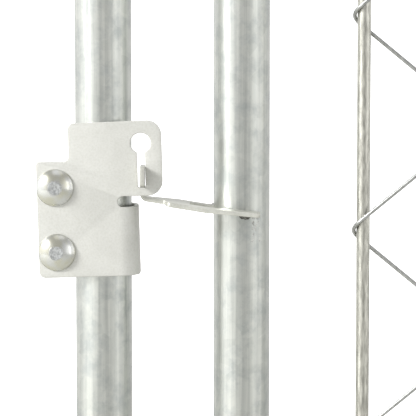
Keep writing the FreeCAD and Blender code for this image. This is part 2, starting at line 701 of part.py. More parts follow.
def pin_washer(z, up):
    low = z - up * (BARREL_H / 2 + WASHER_T)
    outer = rod(WASHER_D / 2, V(PIN_X, PIN_Y, low), V(PIN_X, PIN_Y, low + up * WASHER_T))
    return outer.cut(rod(PIN_D / 2 + 0.2, V(PIN_X, PIN_Y, low - 5), V(PIN_X, PIN_Y, low + 5)))


# ---- the parts --------------------------------------------------------------------
def build():
    os.makedirs("parts", exist_ok=True)
    posts = (0.0, HINGE_POST_X)
    stiles = (LATCH_STILE_X, HINGE_STILE_X)
    stile_ends = (LEAF_BOTTOM_Z - TUBE_R, LEAF_TOP_Z + TUBE_R)

    save("latch_post", tube(V(0, 0, FOOT_BASE), V(0, 0, POST_TOP_Z)))
    save("hinge_post", tube(V(HINGE_POST_X, 0, FOOT_BASE), V(HINGE_POST_X, 0, POST_TOP_Z)))
    save("frame_top_rail", rail(*posts, FRAME_TOP_Z))
    save("frame_bottom_rail", rail(*posts, SILL_Z))
    save("frame_welds", *rail_welds(*posts, (SILL_Z, FRAME_TOP_Z)))
    save("post_feet", *[post_foot(x) for x in posts])
    save("post_caps", *[post_cap(x) for x in posts])

    for name, x in zip(("latch_stile", "hinge_stile"), stiles):
        save(name, tube(V(x, 0, stile_ends[0]), V(x, 0, stile_ends[1])))
    save("leaf_top_rail", rail_with_rod_holes(*stiles, LEAF_TOP_Z, -1))
    save("leaf_bottom_rail", rail_with_rod_holes(*stiles, LEAF_BOTTOM_Z, 1))
    save("leaf_welds", *rail_welds(*stiles, (LEAF_BOTTOM_Z, LEAF_TOP_Z)))
    save("stile_plugs", *[stile_plug(x, z, out) for x in stiles
                          for z, out in zip(stile_ends, (-1, 1))])

    save("latch_plate", lean(latch_plate()))
    save("latch_bolts", *[lean(carriage_bolt(z)) for z in latch_bolt_heights()])
    save("latch_nuts", *[lean(nut(z)) for z in latch_bolt_heights()])
    strike_shape = strike()
    save("strike", strike_shape)
    save("strike_welds", *strike_welds(strike_shape))

    for name, x in zip(("latch_side_tension_rod", "hinge_side_tension_rod"), ROD_X):
        save(name, tension_rod(x))
    save("rod_welds", *rod_welds())
    for number, wire in enumerate(mesh_wires(), 1):
        save("mesh_wire_%02d" % number, wire)
    save("top_tie_wires", *tie_wires(LEAF_TOP_Z, -1))
    save("bottom_tie_wires", *tie_wires(LEAF_BOTTOM_Z, 1))

    bolts, nuts, welds, washers = [], [], [], []
    for name, z, up in zip(("lower", "upper"), HINGE_Z, (-1, 1)):
        save(name + "_hinge_clamp", hinge_clamp(z))
        bolts += [at_hinge_post(carriage_bolt(h), z) for h in hinge_bolt_heights()]
        nuts += [at_hinge_post(nut(h), z) for h in hinge_bolt_heights()]
        pin, arm_z, toward = hinge_pin(z, up)
        save(name + "_hinge_pin", pin)
        welds.append(pin_weld(pin, arm_z, toward))
        washers.append(pin_washer(z, up))
    save("hinge_bolts", *bolts)
    save("hinge_nuts", *nuts)
    save("hinge_pin_welds", *welds)
    save("hinge_washers", *washers)


build()
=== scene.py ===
import math
import random

import bmesh
import bpy
from mathutils import Matrix, Vector, noise


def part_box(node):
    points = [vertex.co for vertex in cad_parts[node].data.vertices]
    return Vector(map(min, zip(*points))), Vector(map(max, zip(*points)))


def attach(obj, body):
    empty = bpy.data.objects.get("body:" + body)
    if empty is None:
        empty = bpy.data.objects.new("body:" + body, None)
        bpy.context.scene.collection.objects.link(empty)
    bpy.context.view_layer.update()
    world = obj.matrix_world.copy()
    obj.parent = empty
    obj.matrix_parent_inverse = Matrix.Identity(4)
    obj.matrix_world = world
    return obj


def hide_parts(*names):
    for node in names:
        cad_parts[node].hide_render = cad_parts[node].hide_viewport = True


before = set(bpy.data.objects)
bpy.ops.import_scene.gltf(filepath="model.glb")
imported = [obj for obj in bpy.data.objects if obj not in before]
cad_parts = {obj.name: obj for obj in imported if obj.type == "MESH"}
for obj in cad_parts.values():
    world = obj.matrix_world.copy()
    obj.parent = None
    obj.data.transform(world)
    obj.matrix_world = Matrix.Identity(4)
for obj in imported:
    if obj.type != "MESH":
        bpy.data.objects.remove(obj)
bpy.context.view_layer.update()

# Wire-mesh panel gate, seen close at its latch. Shapes are worked out in millimetres, from
# the CAD's boxes and its stock sizes, and made metres when a piece is finished.
MM = 0.001
X, Y, Z = Vector((1, 0, 0)), Vector((0, 1, 0)), Vector((0, 0, 1))


def box(node):
    low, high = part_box(node)
    return low / MM, high / MM


def middle(node):
    low, high = box(node)
    return (low + high) / 2


# ---- stock sizes, as in the CAD -----------------------------------------------------
TUBE_R = 12.5
BORE_R = 11.3
WIRE_R = 0.9                # mesh and tie wires
ROD_R = 3.0
SHEET = 2.0
PITCH = 95.2                # height of one turn of a mesh spiral
SPIRAL_W = 53.2             # width of a spiral, between the middles of its bends
SPIRALS = 13
HALF_TURNS = 24
BEND_R = 4.2                # bend of a spiral, to the wire's middle
HOOK = 1.3                  # how far two linked bends lie past each other, each way
CELL = SPIRAL_W - 2 * HOOK  # from one spiral to the next
MESH_DROP = 24.0            # from the top rail's axis to the first bends
LATCH_TURNS = 4.5           # from the first bends to the bends beside the latch
LATCH_OVER_BEND = 10.1      # the latch's own level over those bends
PIN_R = 4.0
BARREL_R = 5.1
HALF_BARREL = 12.0

# ---- places read from the CAD -------------------------------------------------------
POST_X = middle("latch_post").x
STILE_X = middle("latch_stile").x
FAR_STILE_X = middle("hinge_stile").x
FAR_POST_X = middle("hinge_post").x
POST_Z = [corner.z for corner in box("latch_post")]
STILE_Z = [corner.z for corner in box("latch_stile")]
FRAME_Z = [middle("frame_bottom_rail").z, middle("frame_top_rail").z]
LEAF_Z = [middle("leaf_bottom_rail").z, middle("leaf_top_rail").z]
ROD_X = [middle("latch_side_tension_rod").x, middle("hinge_side_tension_rod").x]
ROD_Z = [corner.z for corner in box("latch_side_tension_rod")]
MESH_TOP = LEAF_Z[1] - MESH_DROP
LATCH_Z = MESH_TOP - LATCH_TURNS * PITCH + LATCH_OVER_BEND
HINGE_Z = [middle("lower_hinge_clamp").z, middle("upper_hinge_clamp").z]
PIN_X, PIN_Y = middle("hinge_washers").xy


# ---- small helpers ------------------------------------------------------------------
def paint(code):
    """Linear colour of an sRGB hex value."""
    parts = [int(code[i:i + 2], 16) / 255 for i in (1, 3, 5)]
    return [p / 12.92 if p <= 0.04045 else ((p + 0.055) / 1.055) ** 2.4 for p in parts] + [1.0]


def feed(tree, node, links):
    """Give a node's inputs a value, a socket, or the first output in use of another node."""
    for key, value in dict(links).items():
        if isinstance(value, bpy.types.Node):
            value = next(socket for socket in value.outputs if socket.enabled)
        if isinstance(value, bpy.types.NodeSocket):
            tree.links.new(value, node.inputs[key])
        else:
            node.inputs[key].default_value = value


def add(tree, kind, settings=(), links=(), stops=()):
    """Add a node. settings are attributes, links are fed to its inputs, and stops are a
    colour ramp's (position, linear colour) pairs."""
    new = tree.nodes.new(kind)
    for key, value in dict(settings).items():
        setattr(new, key, value)
    feed(tree, new, links)
    for _ in stops[2:]:
        new.color_ramp.elements.new(0.5)
    for k, (position, colour) in enumerate(stops):
        new.color_ramp.elements[k].position = position
        new.color_ramp.elements[k].color = colour
    return new


def on_circle(count, radius, a, b, start=0.0):
    """Offsets of points round a circle in the plane of a and b."""
    turn = 2 * math.pi / count
    return [(a * math.cos(start + k * turn) + b * math.sin(start + k * turn)) * radius
            for k in range(count)]


def skin(bm, rings, loop=False, caps=False):
    """Join rings of points into a closed surface."""
    rows = [[bm.verts.new(p) for p in ring] for ring in rings]
    pairs = list(zip(rows, rows[1:])) + ([(rows[-1], rows[0])] if loop else [])
    for one, two in pairs:
        for k in range(len(one)):
            after = (k + 1) % len(one)
            bm.faces.new((one[k], one[after], two[after], two[k]))
    if caps:
        bm.faces.new(rows[0])
        bm.faces.new(rows[-1][::-1])
    return rows


def lathe(bm, profile, centre, axis=Z, count=64, loop=False):
    """Turn (radius, height) points about an axis. A profile that is no loop gets capped ends."""
    a = axis.orthogonal().normalized()
    b = axis.cross(a).normalized()
    rings = [[centre + axis * h + off for off in on_circle(count, r, a, b)] for r, h in profile]
    return skin(bm, rings, loop, not loop)


def sweep(bm, points, radii, count=16):
    """Round bar along points, its ends capped."""
    rings = []
    side = None
    for i, point in enumerate(points):
        ahead = (points[min(i + 1, len(points) - 1)] - points[max(i - 1, 0)]).normalized()
        side = ahead.orthogonal() if side is None else side - ahead * side.dot(ahead)
        side.normalize()
        radius = radii[i] if isinstance(radii, list) else radii
        rings.append([point + off for off in on_circle(count, radius, side, ahead.cross(side))])
    skin(bm, rings, caps=True)


def finish_mesh(mesh, material, sharp):
    mesh.transform(Matrix.Scale(MM, 4))
    mesh.materials.clear()
    mesh.materials.append(material)
    mesh.shade_smooth()
    mesh.set_sharp_from_angle(angle=math.radians(sharp))


def piece(name, shape, body, material, replaced, sharp=35):
    """Make a finished piece of a bmesh or a mesh in millimetres, and hang it on its body."""
    if isinstance(shape, bmesh.types.BMesh):
        bmesh.ops.recalc_face_normals(shape, faces=shape.faces[:])
        mesh = bpy.data.meshes.new(name)
        shape.to_mesh(mesh)
        shape.free()
    else:
        mesh = shape
    finish_mesh(mesh, material, sharp)
    thing = bpy.data.objects.new(name, mesh)
    bpy.context.scene.collection.objects.link(thing)
    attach(thing, body)
    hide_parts(*replaced)
    return thing


# ---- sheet metal: a flat blank with rounded edges, then bent along a spine ----------
def rounded(corners, step=9.0):
    """Points of an outline given as (a, b, radius) corners."""
    points = []
    count = len(corners)
    for i, (a, b, radius) in enumerate(corners):
        here = Vector((a, b))
        before = (Vector(corners[i - 1][:2]) - here).normalized()
        after = (Vector(corners[(i + 1) % count][:2]) - here).normalized()
        if radius == 0:
            points.append(here)
            continue
        half = before.angle(after) / 2
        centre = here + (before + after).normalized() * (radius / math.sin(half))
        start = here + before * (radius / math.tan(half)) - centre
        sweep_angle = math.pi - 2 * half
        steps = max(2, round(math.degrees(sweep_angle) / step))
        way = 1 if before.cross(after) < 0 else -1
        for k in range(steps + 1):
            turn = way * sweep_angle * k / steps
            points.append(centre + Matrix.Rotation(turn, 2) @ start)
    return points


def blank(outlines, edge):
    """Flat sheet in the plane z = 0 with its edges rounded, holes and all."""
    curve = bpy.data.curves.new("blank", "CURVE")
    curve.dimensions = "2D"
    curve.fill_mode = "BOTH"
    curve.extrude = SHEET / 2 - edge
    curve.bevel_depth = edge
    curve.bevel_resolution = 2
    curve.offset = -edge
    for points in outlines:
        spline = curve.splines.new("POLY")
        spline.points.add(len(points) - 1)
        for target, point in zip(spline.points, points):
            target.co = (point.x, point.y, 0, 1)
        spline.use_cyclic_u = True
    thing = bpy.data.objects.new("blank", curve)
    mesh = bpy.data.meshes.new_from_object(thing)
    bm = bmesh.new()
    bm.from_mesh(mesh)
    bpy.data.objects.remove(thing)
    bpy.data.curves.remove(curve)
    bpy.data.meshes.remove(mesh)
    bmesh.ops.remove_doubles(bm, verts=bm.verts[:], dist=0.002)
    return bm


def spine(start, heading, runs):
    """Place and heading at a distance along runs of (length, turn in degrees)."""
    def at(distance):
        u, v = start
        angle = math.radians(heading)
        if distance <= 0:
            return (u + math.cos(angle) * distance, v + math.sin(angle) * distance), angle
        for i, (length, turn) in enumerate(runs):
            part = distance if i == len(runs) - 1 else min(distance, length)
            if turn == 0:
                u += math.cos(angle) * part
                v += math.sin(angle) * part
            else:
                rate = math.radians(turn) / length
                later = angle + rate * part
                u += (math.sin(later) - math.sin(angle)) / rate
                v -= (math.cos(later) - math.cos(angle)) / rate
                angle = later
            distance -= part
            if distance <= 0:
                break
        return (u, v), angle
    return at


FLAT_STRIP = 0.4            # strip cut off the flat sheet, beside the first bend


def bend(bm, runs, start, place, offset=0.0, step=7.5):
    """Cut a blank across at each step of its bends, in degrees, then place every vertex."""
    cuts = [offset - FLAT_STRIP]
    travelled = offset
    for length, turn in runs:
        parts = 1 if turn == 0 else max(2, round(abs(turn) / step))
        cuts += [travelled + length * k / parts for k in range(parts)]
        travelled += length
    for cut in cuts:
        bmesh.ops.bisect_plane(bm, geom=bm.verts[:] + bm.edges[:] + bm.faces[:], dist=1e-4,
                               plane_co=(cut, 0, 0), plane_no=(1, 0, 0))
    at = spine(*start, runs)
    for vert in bm.verts:
        vert.co = place(vert.co.copy(), at)
    return bm


# ---- materials ----------------------------------------------------------------------
MULTIPLY = {"data_type": "RGBA", "blend_type": "MULTIPLY"}


def new_material(name):
    material = bpy.data.materials.new(name)
    material.use_nodes = True
    tree = material.node_tree
    return material, tree, tree.nodes["Principled BSDF"]


def repeats(tree, *sizes):
    """Object coordinates in repeats of a pattern, so many millimetres long in X, Y and Z."""
    where = add(tree, "ShaderNodeTexCoord")
    return add(tree, "ShaderNodeMapping", links={
        "Vector": where.outputs["Object"], "Scale": [1000.0 / size for size in sizes]})


def drawn_tube(name, along):
    """Galvanised tube, drawn then zinc coated: bright metal with long draw streaks, a faint
    spangle about 5 mm across, cloudy dull patches and short scratches, drawn 0.5 mm wide so
    that they show."""
    material, tree, shader = new_material(name)
    streak_size, scratch_size = [1.6] * 3, [0.5] * 3
    streak_size[along], scratch_size[along] = 90, 7
    streak, cloud, scratch = [add(tree, "ShaderNodeTexNoise", links={
        "Vector": repeats(tree, *size), "Scale": 1.0, "Detail": detail, "Roughness": rough})
        for size, detail, rough in (
            (streak_size, 4.0, 0.6), ([12] * 3, 7.0, 0.7), (scratch_size, 2.0, 0.5))]
    spangle = add(tree, "ShaderNodeTexVoronoi", links={
        "Vector": repeats(tree, 5, 5, 5), "Scale": 1.0})
    metal = add(tree, "ShaderNodeValToRGB", links={"Fac": streak},
                stops=[(0.25, paint("#B8BAB8")), (0.5, paint("#CBCDCA")), (0.75, paint("#DDDEDA"))])
    grains = add(tree, "ShaderNodeValToRGB", links={"Fac": spangle.outputs["Color"]},
                 stops=[(0.0, paint("#F0F1F1")), (1.0, paint("#FFFFFF"))])
    dull = add(tree, "ShaderNodeValToRGB", links={"Fac": cloud},
               stops=[(0.37, paint("#E8EAEA")), (0.53, paint("#FFFFFC"))])
    spangled = add(tree, "ShaderNodeMix", MULTIPLY, {0: 1.0, 6: metal, 7: grains})
    clouded = add(tree, "ShaderNodeMix", MULTIPLY, {0: 1.0, 6: spangled, 7: dull})
    cloud_gloss = add(tree, "ShaderNodeMapRange", links={
        "Value": cloud, "From Min": 0.35, "From Max": 0.6, "To Min": 0.4, "To Max": 0.34})
    streak_gloss = add(tree, "ShaderNodeMapRange", links={
        "Value": streak, "From Min": 0.3, "From Max": 0.7, "To Min": -0.02, "To Max": 0.03})
    gloss = add(tree, "ShaderNodeMath", {"operation": "ADD"}, {0: cloud_gloss, 1: streak_gloss})
    height = add(tree, "ShaderNodeMath", {"operation": "ADD"}, {
        0: add(tree, "ShaderNodeMapRange", links={"Value": streak}),
        1: add(tree, "ShaderNodeMapRange", links={"Value": scratch, "To Max": 0.35})})
    relief = add(tree, "ShaderNodeBump", links={
        "Strength": 0.35, "Distance": 0.00006, "Height": height})
    feed(tree, shader, {"Base Color": clouded, "Roughness": gloss, "Normal": relief,
                        "Metallic": 1.0})
    return material


def matt_zinc(name, light, dark, metallic, roughness):
    """Pressed steel sheet, zinc plated matt: an even pale warm grey with a soft grain and
    faint clouding, and no mirror in it. The grain is drawn 0.9 mm across so that it shows."""
    material, tree, shader = new_material(name)
    grain = add(tree, "ShaderNodeTexNoise", links={
        "Vector": repeats(tree, 0.9, 0.9, 0.9), "Scale": 1.0, "Detail": 3.0})
    cloud = add(tree, "ShaderNodeTexNoise", links={
        "Vector": repeats(tree, 9, 9, 9), "Scale": 1.0, "Detail": 4.0})
    tone = add(tree, "ShaderNodeValToRGB", links={"Fac": cloud},
               stops=[(0.35, paint(dark)), (0.65, paint(light))])
    speck = add(tree, "ShaderNodeValToRGB", links={"Fac": grain},
                stops=[(0.3, paint("#F5F5F3")), (0.6, paint("#FFFFFF"))])
    specked = add(tree, "ShaderNodeMix", MULTIPLY, {0: 1.0, 6: tone, 7: speck})
    gloss = add(tree, "ShaderNodeMapRange", links={
        "Value": grain, "To Min": roughness - 0.06, "To Max": roughness + 0.08})
    relief = add(tree, "ShaderNodeBump", links={
        "Strength": 0.25, "Distance": 0.00005, "Height": grain})
    feed(tree, shader, {"Base Color": specked, "Roughness": gloss, "Normal": relief,
                        "Metallic": metallic})
    return material


def bright_zinc(name):
    """Bolts, bright zinc plated: a shiny dome with a rough hammered middle, where the piece's
    "worn" attribute is 1, and a slightly yellowish cast."""
    material, tree, shader = new_material(name)
    worn = add(tree, "ShaderNodeAttribute", {"attribute_name": "worn"}).outputs["Fac"]
    grit = add(tree, "ShaderNodeTexNoise", links={
        "Vector": repeats(tree, 0.8, 0.8, 0.8), "Scale": 1.0, "Detail": 5.0})
    cloud = add(tree, "ShaderNodeTexNoise", links={
        "Vector": repeats(tree, 6, 6, 6), "Scale": 1.0, "Detail": 2.0})
    shine = add(tree, "ShaderNodeValToRGB", links={"Fac": cloud},
                stops=[(0.4, paint("#C9C8BA")), (0.6, paint("#CFD0CD"))])
    rough = add(tree, "ShaderNodeValToRGB", links={"Fac": grit},
                stops=[(0.35, paint("#A2A4A4")), (0.65, paint("#D0D2D2"))])
    metal = add(tree, "ShaderNodeMix", {"data_type": "RGBA"}, {0: worn, 6: shine, 7: rough})
    gloss = add(tree, "ShaderNodeMapRange", links={"Value": worn, "To Min": 0.22, "To Max": 0.45})
    lumps = add(tree, "ShaderNodeMath", {"operation": "MULTIPLY"}, {0: grit, 1: worn})
    relief = add(tree, "ShaderNodeBump", links={
        "Strength": 0.7, "Distance": 0.0002, "Height": lumps})
    feed(tree, shader, {"Base Color": metal, "Roughness": gloss, "Normal": relief,
                        "Metallic": 1.0})
    return material


def bar_metal(name, light, dark, roughness, mark):
    """Zinc-coated bar and wire: dull metal with marks from the die, so many millimetres wide
    and six times as long, coarser than real so that they show."""
    material, tree, shader = new_material(name)
    marks = add(tree, "ShaderNodeTexNoise", links={
        "Vector": repeats(tree, mark, mark, mark * 6), "Scale": 1.0, "Detail": 4.0})
    metal = add(tree, "ShaderNodeValToRGB", links={"Fac": marks},
                stops=[(0.35, paint(dark)), (0.65, paint(light))])
    gloss = add(tree, "ShaderNodeMapRange", links={
        "Value": marks, "To Min": roughness - 0.05, "To Max": roughness + 0.08})
    relief = add(tree, "ShaderNodeBump", links={
        "Strength": 0.3, "Distance": 0.00005, "Height": marks})
    feed(tree, shader, {"Base Color": metal, "Roughness": gloss, "Normal": relief,
                        "Metallic": 1.0})
    return material


def weld_metal(name):
    """Weld bead touched up with zinc paint: dusty grey. Where the piece's shade attribute is 1 it
    is painted
    dark instead: painted shade, standing in for the shade under the strike's front leg."""
    material, tree, shader = new_material(name)
    weld_mottle = add(tree, "ShaderNodeTexNoise", links={
        "Vector": repeats(tree, 1.8, 1.8, 1.8), "Scale": 1.0, "Detail": 5.0})
    shade_under_leg = add(tree, "ShaderNodeAttribute", {"attribute_name": "shade_under_leg"})
    painted = add(tree, "ShaderNodeValToRGB", links={"Fac": weld_mottle},
                  stops=[
        (0.36, paint("#A6A6A2")), (0.5, paint("#C6C6C2")), (0.62, paint("#DADAD6"))])
    # painted shade: dark tones for the tack in the shade under the strike's front leg
    painted_shade_tones = add(tree, "ShaderNodeValToRGB", links={"Fac": weld_mottle},
                stops=[(0.36, paint("#3E3D3A")), (0.5, paint("#6A6964")), (0.62, paint("#8E8D88"))])
    metal = add(tree, "ShaderNodeMix", {"data_type": "RGBA"}, {
        0: shade_under_leg.outputs["Fac"], 6: painted, 7: painted_shade_tones})
    relief = add(tree, "ShaderNodeBump", links={
        "Strength": 0.6, "Distance": 0.0002, "Height": weld_mottle})
    feed(tree, shader, {"Base Color": metal, "Roughness": 0.5, "Normal": relief,
                        "Metallic": 0.8})
    return material


def moulded_grey(name):
    """Moulded polyethylene: waxy mid grey, softly glossy. Its grain is drawn 0.6 mm across so
    that it shows."""
    material, tree, shader = new_material(name)
    grain = add(tree, "ShaderNodeTexNoise", links={
        "Vector": repeats(tree, 0.6, 0.6, 0.6), "Scale": 1.0, "Detail": 3.0})
    grey = add(tree, "ShaderNodeValToRGB", links={"Fac": grain},
               stops=[(0.3, paint("#55585A")), (0.7, paint("#616466"))])
    relief = add(tree, "ShaderNodeBump", links={
        "Strength": 0.3, "Distance": 0.00008, "Height": grain})
    feed(tree, shader, {"Base Color": grey, "Roughness": 0.48, "Normal": relief, "IOR": 1.51})
    return material


UPRIGHT_TUBE = drawn_tube("galvanised_tube_upright", 2)
LEVEL_TUBE = drawn_tube("galvanised_tube_level", 0)
ZINC_SHEET = matt_zinc("matt_zinc_plated_sheet", "#CDCDC8", "#C8C8C3", 0.35, 0.5)
STRIKE_SHEET = matt_zinc("matt_zinc_plated_strike", "#D2D2CB", "#C4C4BC", 0.65, 0.42)
BRIGHT_ZINC = bright_zinc("bright_zinc_plate")
WIRE_METAL = bar_metal("galvanised_wire", "#B9BAB8", "#A2A3A0", 0.36, 1.6)
ROD_METAL = bar_metal("galvanised_bar", "#D2D1C8", "#A3A29A", 0.36, 1.0)
WELD_METAL = weld_metal("painted_weld")
GREY_PLASTIC = moulded_grey("moulded_polyethylene")


# ---- tubes --------------------------------------------------------------------------
TUBE_SIDES = 96


def upright_tube(x, low, high):
    """Tube between two heights, the edges of its cut ends eased."""
    bm = bmesh.new()
    ease = 0.25
    profile = [(BORE_R, low + ease), (BORE_R + ease, low), (TUBE_R - ease, low),
               (TUBE_R, low + ease), (TUBE_R, high - ease), (TUBE_R - ease, high),
               (BORE_R + ease, high), (BORE_R, high - ease)]
    lathe(bm, profile, Vector((x, 0, 0)), count=TUBE_SIDES, loop=True)
    return bm


def coped_rail(x_from, x_to, z):
    """Rail between two uprights, each end cut to hug the upright's round side."""
    bm = bmesh.new()
    rings = []
    for radius, x, inward in (
            (BORE_R, x_from, 1), (TUBE_R, x_from, 1), (TUBE_R, x_to, -1), (BORE_R, x_to, -1)):
        ring = []
        for off in on_circle(TUBE_SIDES, radius, Y, Z):
            reach = math.sqrt(max(TUBE_R ** 2 - off.y ** 2, 0.0))
            ring.append(Vector((x + inward * reach, off.y, z + off.z)))
        rings.append(ring)
    skin(bm, rings, loop=True)
    return bm


TUBES = (
    ("latch_post_tube", upright_tube(POST_X, *POST_Z), "frame", UPRIGHT_TUBE, "latch_post"),
    ("hinge_post_tube", upright_tube(FAR_POST_X, *POST_Z), "frame", UPRIGHT_TUBE, "hinge_post"),
    ("latch_stile_tube", upright_tube(STILE_X, *STILE_Z), "leaf", UPRIGHT_TUBE, "latch_stile"),
    ("hinge_stile_tube", upright_tube(FAR_STILE_X, *STILE_Z), "leaf", UPRIGHT_TUBE, "hinge_stile"),
    ("sill_rail_tube", coped_rail(POST_X, FAR_POST_X, FRAME_Z[0]), "frame", LEVEL_TUBE,
     "frame_bottom_rail"),
    ("head_rail_tube", coped_rail(POST_X, FAR_POST_X, FRAME_Z[1]), "frame", LEVEL_TUBE,
     "frame_top_rail"),
    ("leaf_low_rail_tube", coped_rail(STILE_X, FAR_STILE_X, LEAF_Z[0]), "leaf", LEVEL_TUBE,
     "leaf_bottom_rail"),
    ("leaf_high_rail_tube", coped_rail(STILE_X, FAR_STILE_X, LEAF_Z[1]), "leaf", LEVEL_TUBE,
     "leaf_top_rail"),
)
for tube_name, tube_shape, tube_body, tube_metal, tube_node in TUBES:
    piece(tube_name, tube_shape, tube_body, tube_metal, [tube_node])


# ---- feet, caps and plugs: (radius, height) profiles ---------------------------------
AXIS = 0.01                 # radius at the axis, just open so that no two points meet
FOOT = [(AXIS, 0), (13.5, 0), (14.2, 0.3), (14.5, 1), (14.5, 21), (14.2, 21.7), (13.5, 22),
        (12.55, 22), (12.55, 3), (AXIS, 3)]
CAP_SKIRT, CAP_RISE, CAP_R = 14, 5.2, 13.75
cap_dome = [(CAP_R * math.cos(a), CAP_SKIRT + CAP_RISE * math.sin(a))
            for a in [math.radians(7.5 * k) for k in range(12)]]
CAP = ([(12.6, 0), (13.5, 0), (CAP_R, 0.3)] + cap_dome
       + [(AXIS, CAP_SKIRT + CAP_RISE), (AXIS, 18), (12.55, 13.6)])
PLUG = [(AXIS, -12), (10.8, -12), (11.2, -11), (11.25, 0), (12.5, 0), (12.5, 1.2), (12.2, 1.75),
        (11.7, 2), (AXIS, 2)]

feet = bmesh.new()
caps = bmesh.new()
for post_x in (POST_X, FAR_POST_X):
    lathe(feet, FOOT, Vector((post_x, 0, 0)))
    lathe(caps, CAP, Vector((post_x, 0, POST_Z[1] - CAP_SKIRT)))
piece("moulded_post_feet", feet, "frame", GREY_PLASTIC, ["post_feet"])
piece("pressed_post_caps", caps, "frame", ZINC_SHEET, ["post_caps"])

plugs = bmesh.new()
for stile_x in (STILE_X, FAR_STILE_X):
    for end, out in ((STILE_Z[0], -1), (STILE_Z[1], 1)):
        lathe(plugs, PLUG, Vector((stile_x, 0, end)), Z * out)
piece("moulded_stile_plugs", plugs, "leaf", GREY_PLASTIC, ["stile_plugs"])


# ---- band clamps: the latch plate and the hinge clamps ------------------------------
GAP_RIGHT, GAP_LEFT, GAP_BACK = 1.6, 0.47, 0.95     # between the tube and the band
BAND_RIGHT = TUBE_R + GAP_RIGHT + SHEET / 2         # all of these to the sheet's middle
BAND_LEFT = -(TUBE_R + GAP_LEFT + SHEET / 2)
BAND_BACK = TUBE_R + GAP_BACK + SHEET / 2
CORNER_R = 7.0              # from the flat front into the band
ROOT_R = 1.1                # from the band out into the rear flange
FLANGE_X = -28.2
FLAT_Y = -TUBE_R - SHEET / 2
SPLIT_X = BAND_RIGHT - CORNER_R
BACK_R = (BAND_RIGHT - BAND_LEFT) / 2
BACK_MID_Y = BAND_BACK - BACK_R
ROOT_MID_Y = -TUBE_R + SHEET / 2 + ROOT_R
QUARTER = math.pi / 2
BAND_RUNS = [
    (CORNER_R * QUARTER, 90), (BACK_MID_Y - FLAT_Y - CORNER_R, 0), (BACK_R * math.pi, 180),
    (BACK_MID_Y - ROOT_MID_Y, 0), (ROOT_R * QUARTER, -90),
    (BAND_LEFT - ROOT_R - FLANGE_X, 0)]
BAND_END = SPLIT_X + sum(length for length, _ in BAND_RUNS)
BAND_START = ((SPLIT_X, FLAT_Y), 0)


def round_post(point, at):
    """Where a point of the blank (along, up, out) goes once the band is closed round the post."""
    (u, v), angle = at(point.x - SPLIT_X)
    return Vector((u + math.sin(angle) * point.z, v - math.cos(angle) * point.z, point.y))


LATCH_LOW, LATCH_HIGH = -29.4, 0.9
FLANGE_TOP = 21.6
RELIEF_X, RELIEF_TOP, RELIEF_R = 7.2, 5.7, 2.38     # slot that frees the ear from the band
EAR_RIGHT, EAR_R = 27.2, 6.5
BODY_LEFT, BODY_TOP_LEFT, BODY_TOP_RIGHT = -13.8, 38.3, 38.9
KEY_X, KEY_Z, KEY_R = 18.0, 28.9, 4.4
KEY_SLOT, KEY_END = 3.4, 9.4
on_back = SPLIT_X + sum(length for length, _ in BAND_RUNS[:2])
back_rise = [on_back + BACK_R * math.acos((x - (BAND_RIGHT + BAND_LEFT) / 2) / BACK_R)
             for x in (2.0, -7.0)]
latch_outline = rounded([
    (FLANGE_X, LATCH_LOW, 2.8), (BAND_END, LATCH_LOW, 2.8), (BAND_END, FLANGE_TOP, 1.3),
    (back_rise[1], FLANGE_TOP, 1.5), (back_rise[0], LATCH_HIGH, 3.0),
    (RELIEF_X, LATCH_HIGH, RELIEF_R), (RELIEF_X, RELIEF_TOP, RELIEF_R),
    (EAR_RIGHT, RELIEF_TOP, EAR_R), (EAR_RIGHT, BODY_TOP_RIGHT, EAR_R),
    (BODY_LEFT, BODY_TOP_LEFT, 2.5), (BODY_LEFT, FLANGE_TOP, 2.6), (FLANGE_X, FLANGE_TOP, 1.3)])

# the keyhole: its round end, then down the slot and back
half_slot = KEY_SLOT / 2
mouth = math.asin(half_slot / KEY_R)
keyhole = [Vector((KEY_X + KEY_R * math.sin(a), KEY_Z - KEY_R * math.cos(a))) for a in
           [mouth + (2 * math.pi - 2 * mouth) * k / 40 for k in range(41)]]
SLOT_CORNER = ((0, 0.9), (0.26, 0.26), (0.9, 0))    # inward and up from the slot's end
for side, corner in ((-1, SLOT_CORNER), (1, SLOT_CORNER[::-1])):
    keyhole += [Vector((KEY_X + side * (half_slot - inward), KEY_END + rise))
                for inward, rise in corner]


def latch_place(point, at):
    """The ear above the relief stays flat, the band below it goes round the post."""
    if point.x > SPLIT_X and point.y > (LATCH_HIGH + RELIEF_TOP) / 2 and point.x < EAR_RIGHT + 1:
        return Vector((point.x, FLAT_Y - point.z, point.y))
    return round_post(point, at)


LEAN_DEGREES = -1.6
LEAN = (Matrix.Translation((POST_X, 0, LATCH_Z + (LATCH_LOW + LATCH_HIGH) / 2))
        @ Matrix.Rotation(math.radians(LEAN_DEGREES), 4, "Y")
        @ Matrix.Translation((0, 0, -(LATCH_LOW + LATCH_HIGH) / 2)))
PLATE_EDGE = 0.45
latch = bend(blank([latch_outline, keyhole], PLATE_EDGE), BAND_RUNS, BAND_START, latch_place,
             SPLIT_X)
latch.transform(LEAN)
piece("pressed_latch_plate", latch, "frame", ZINC_SHEET, ["latch_plate"], sharp=16)

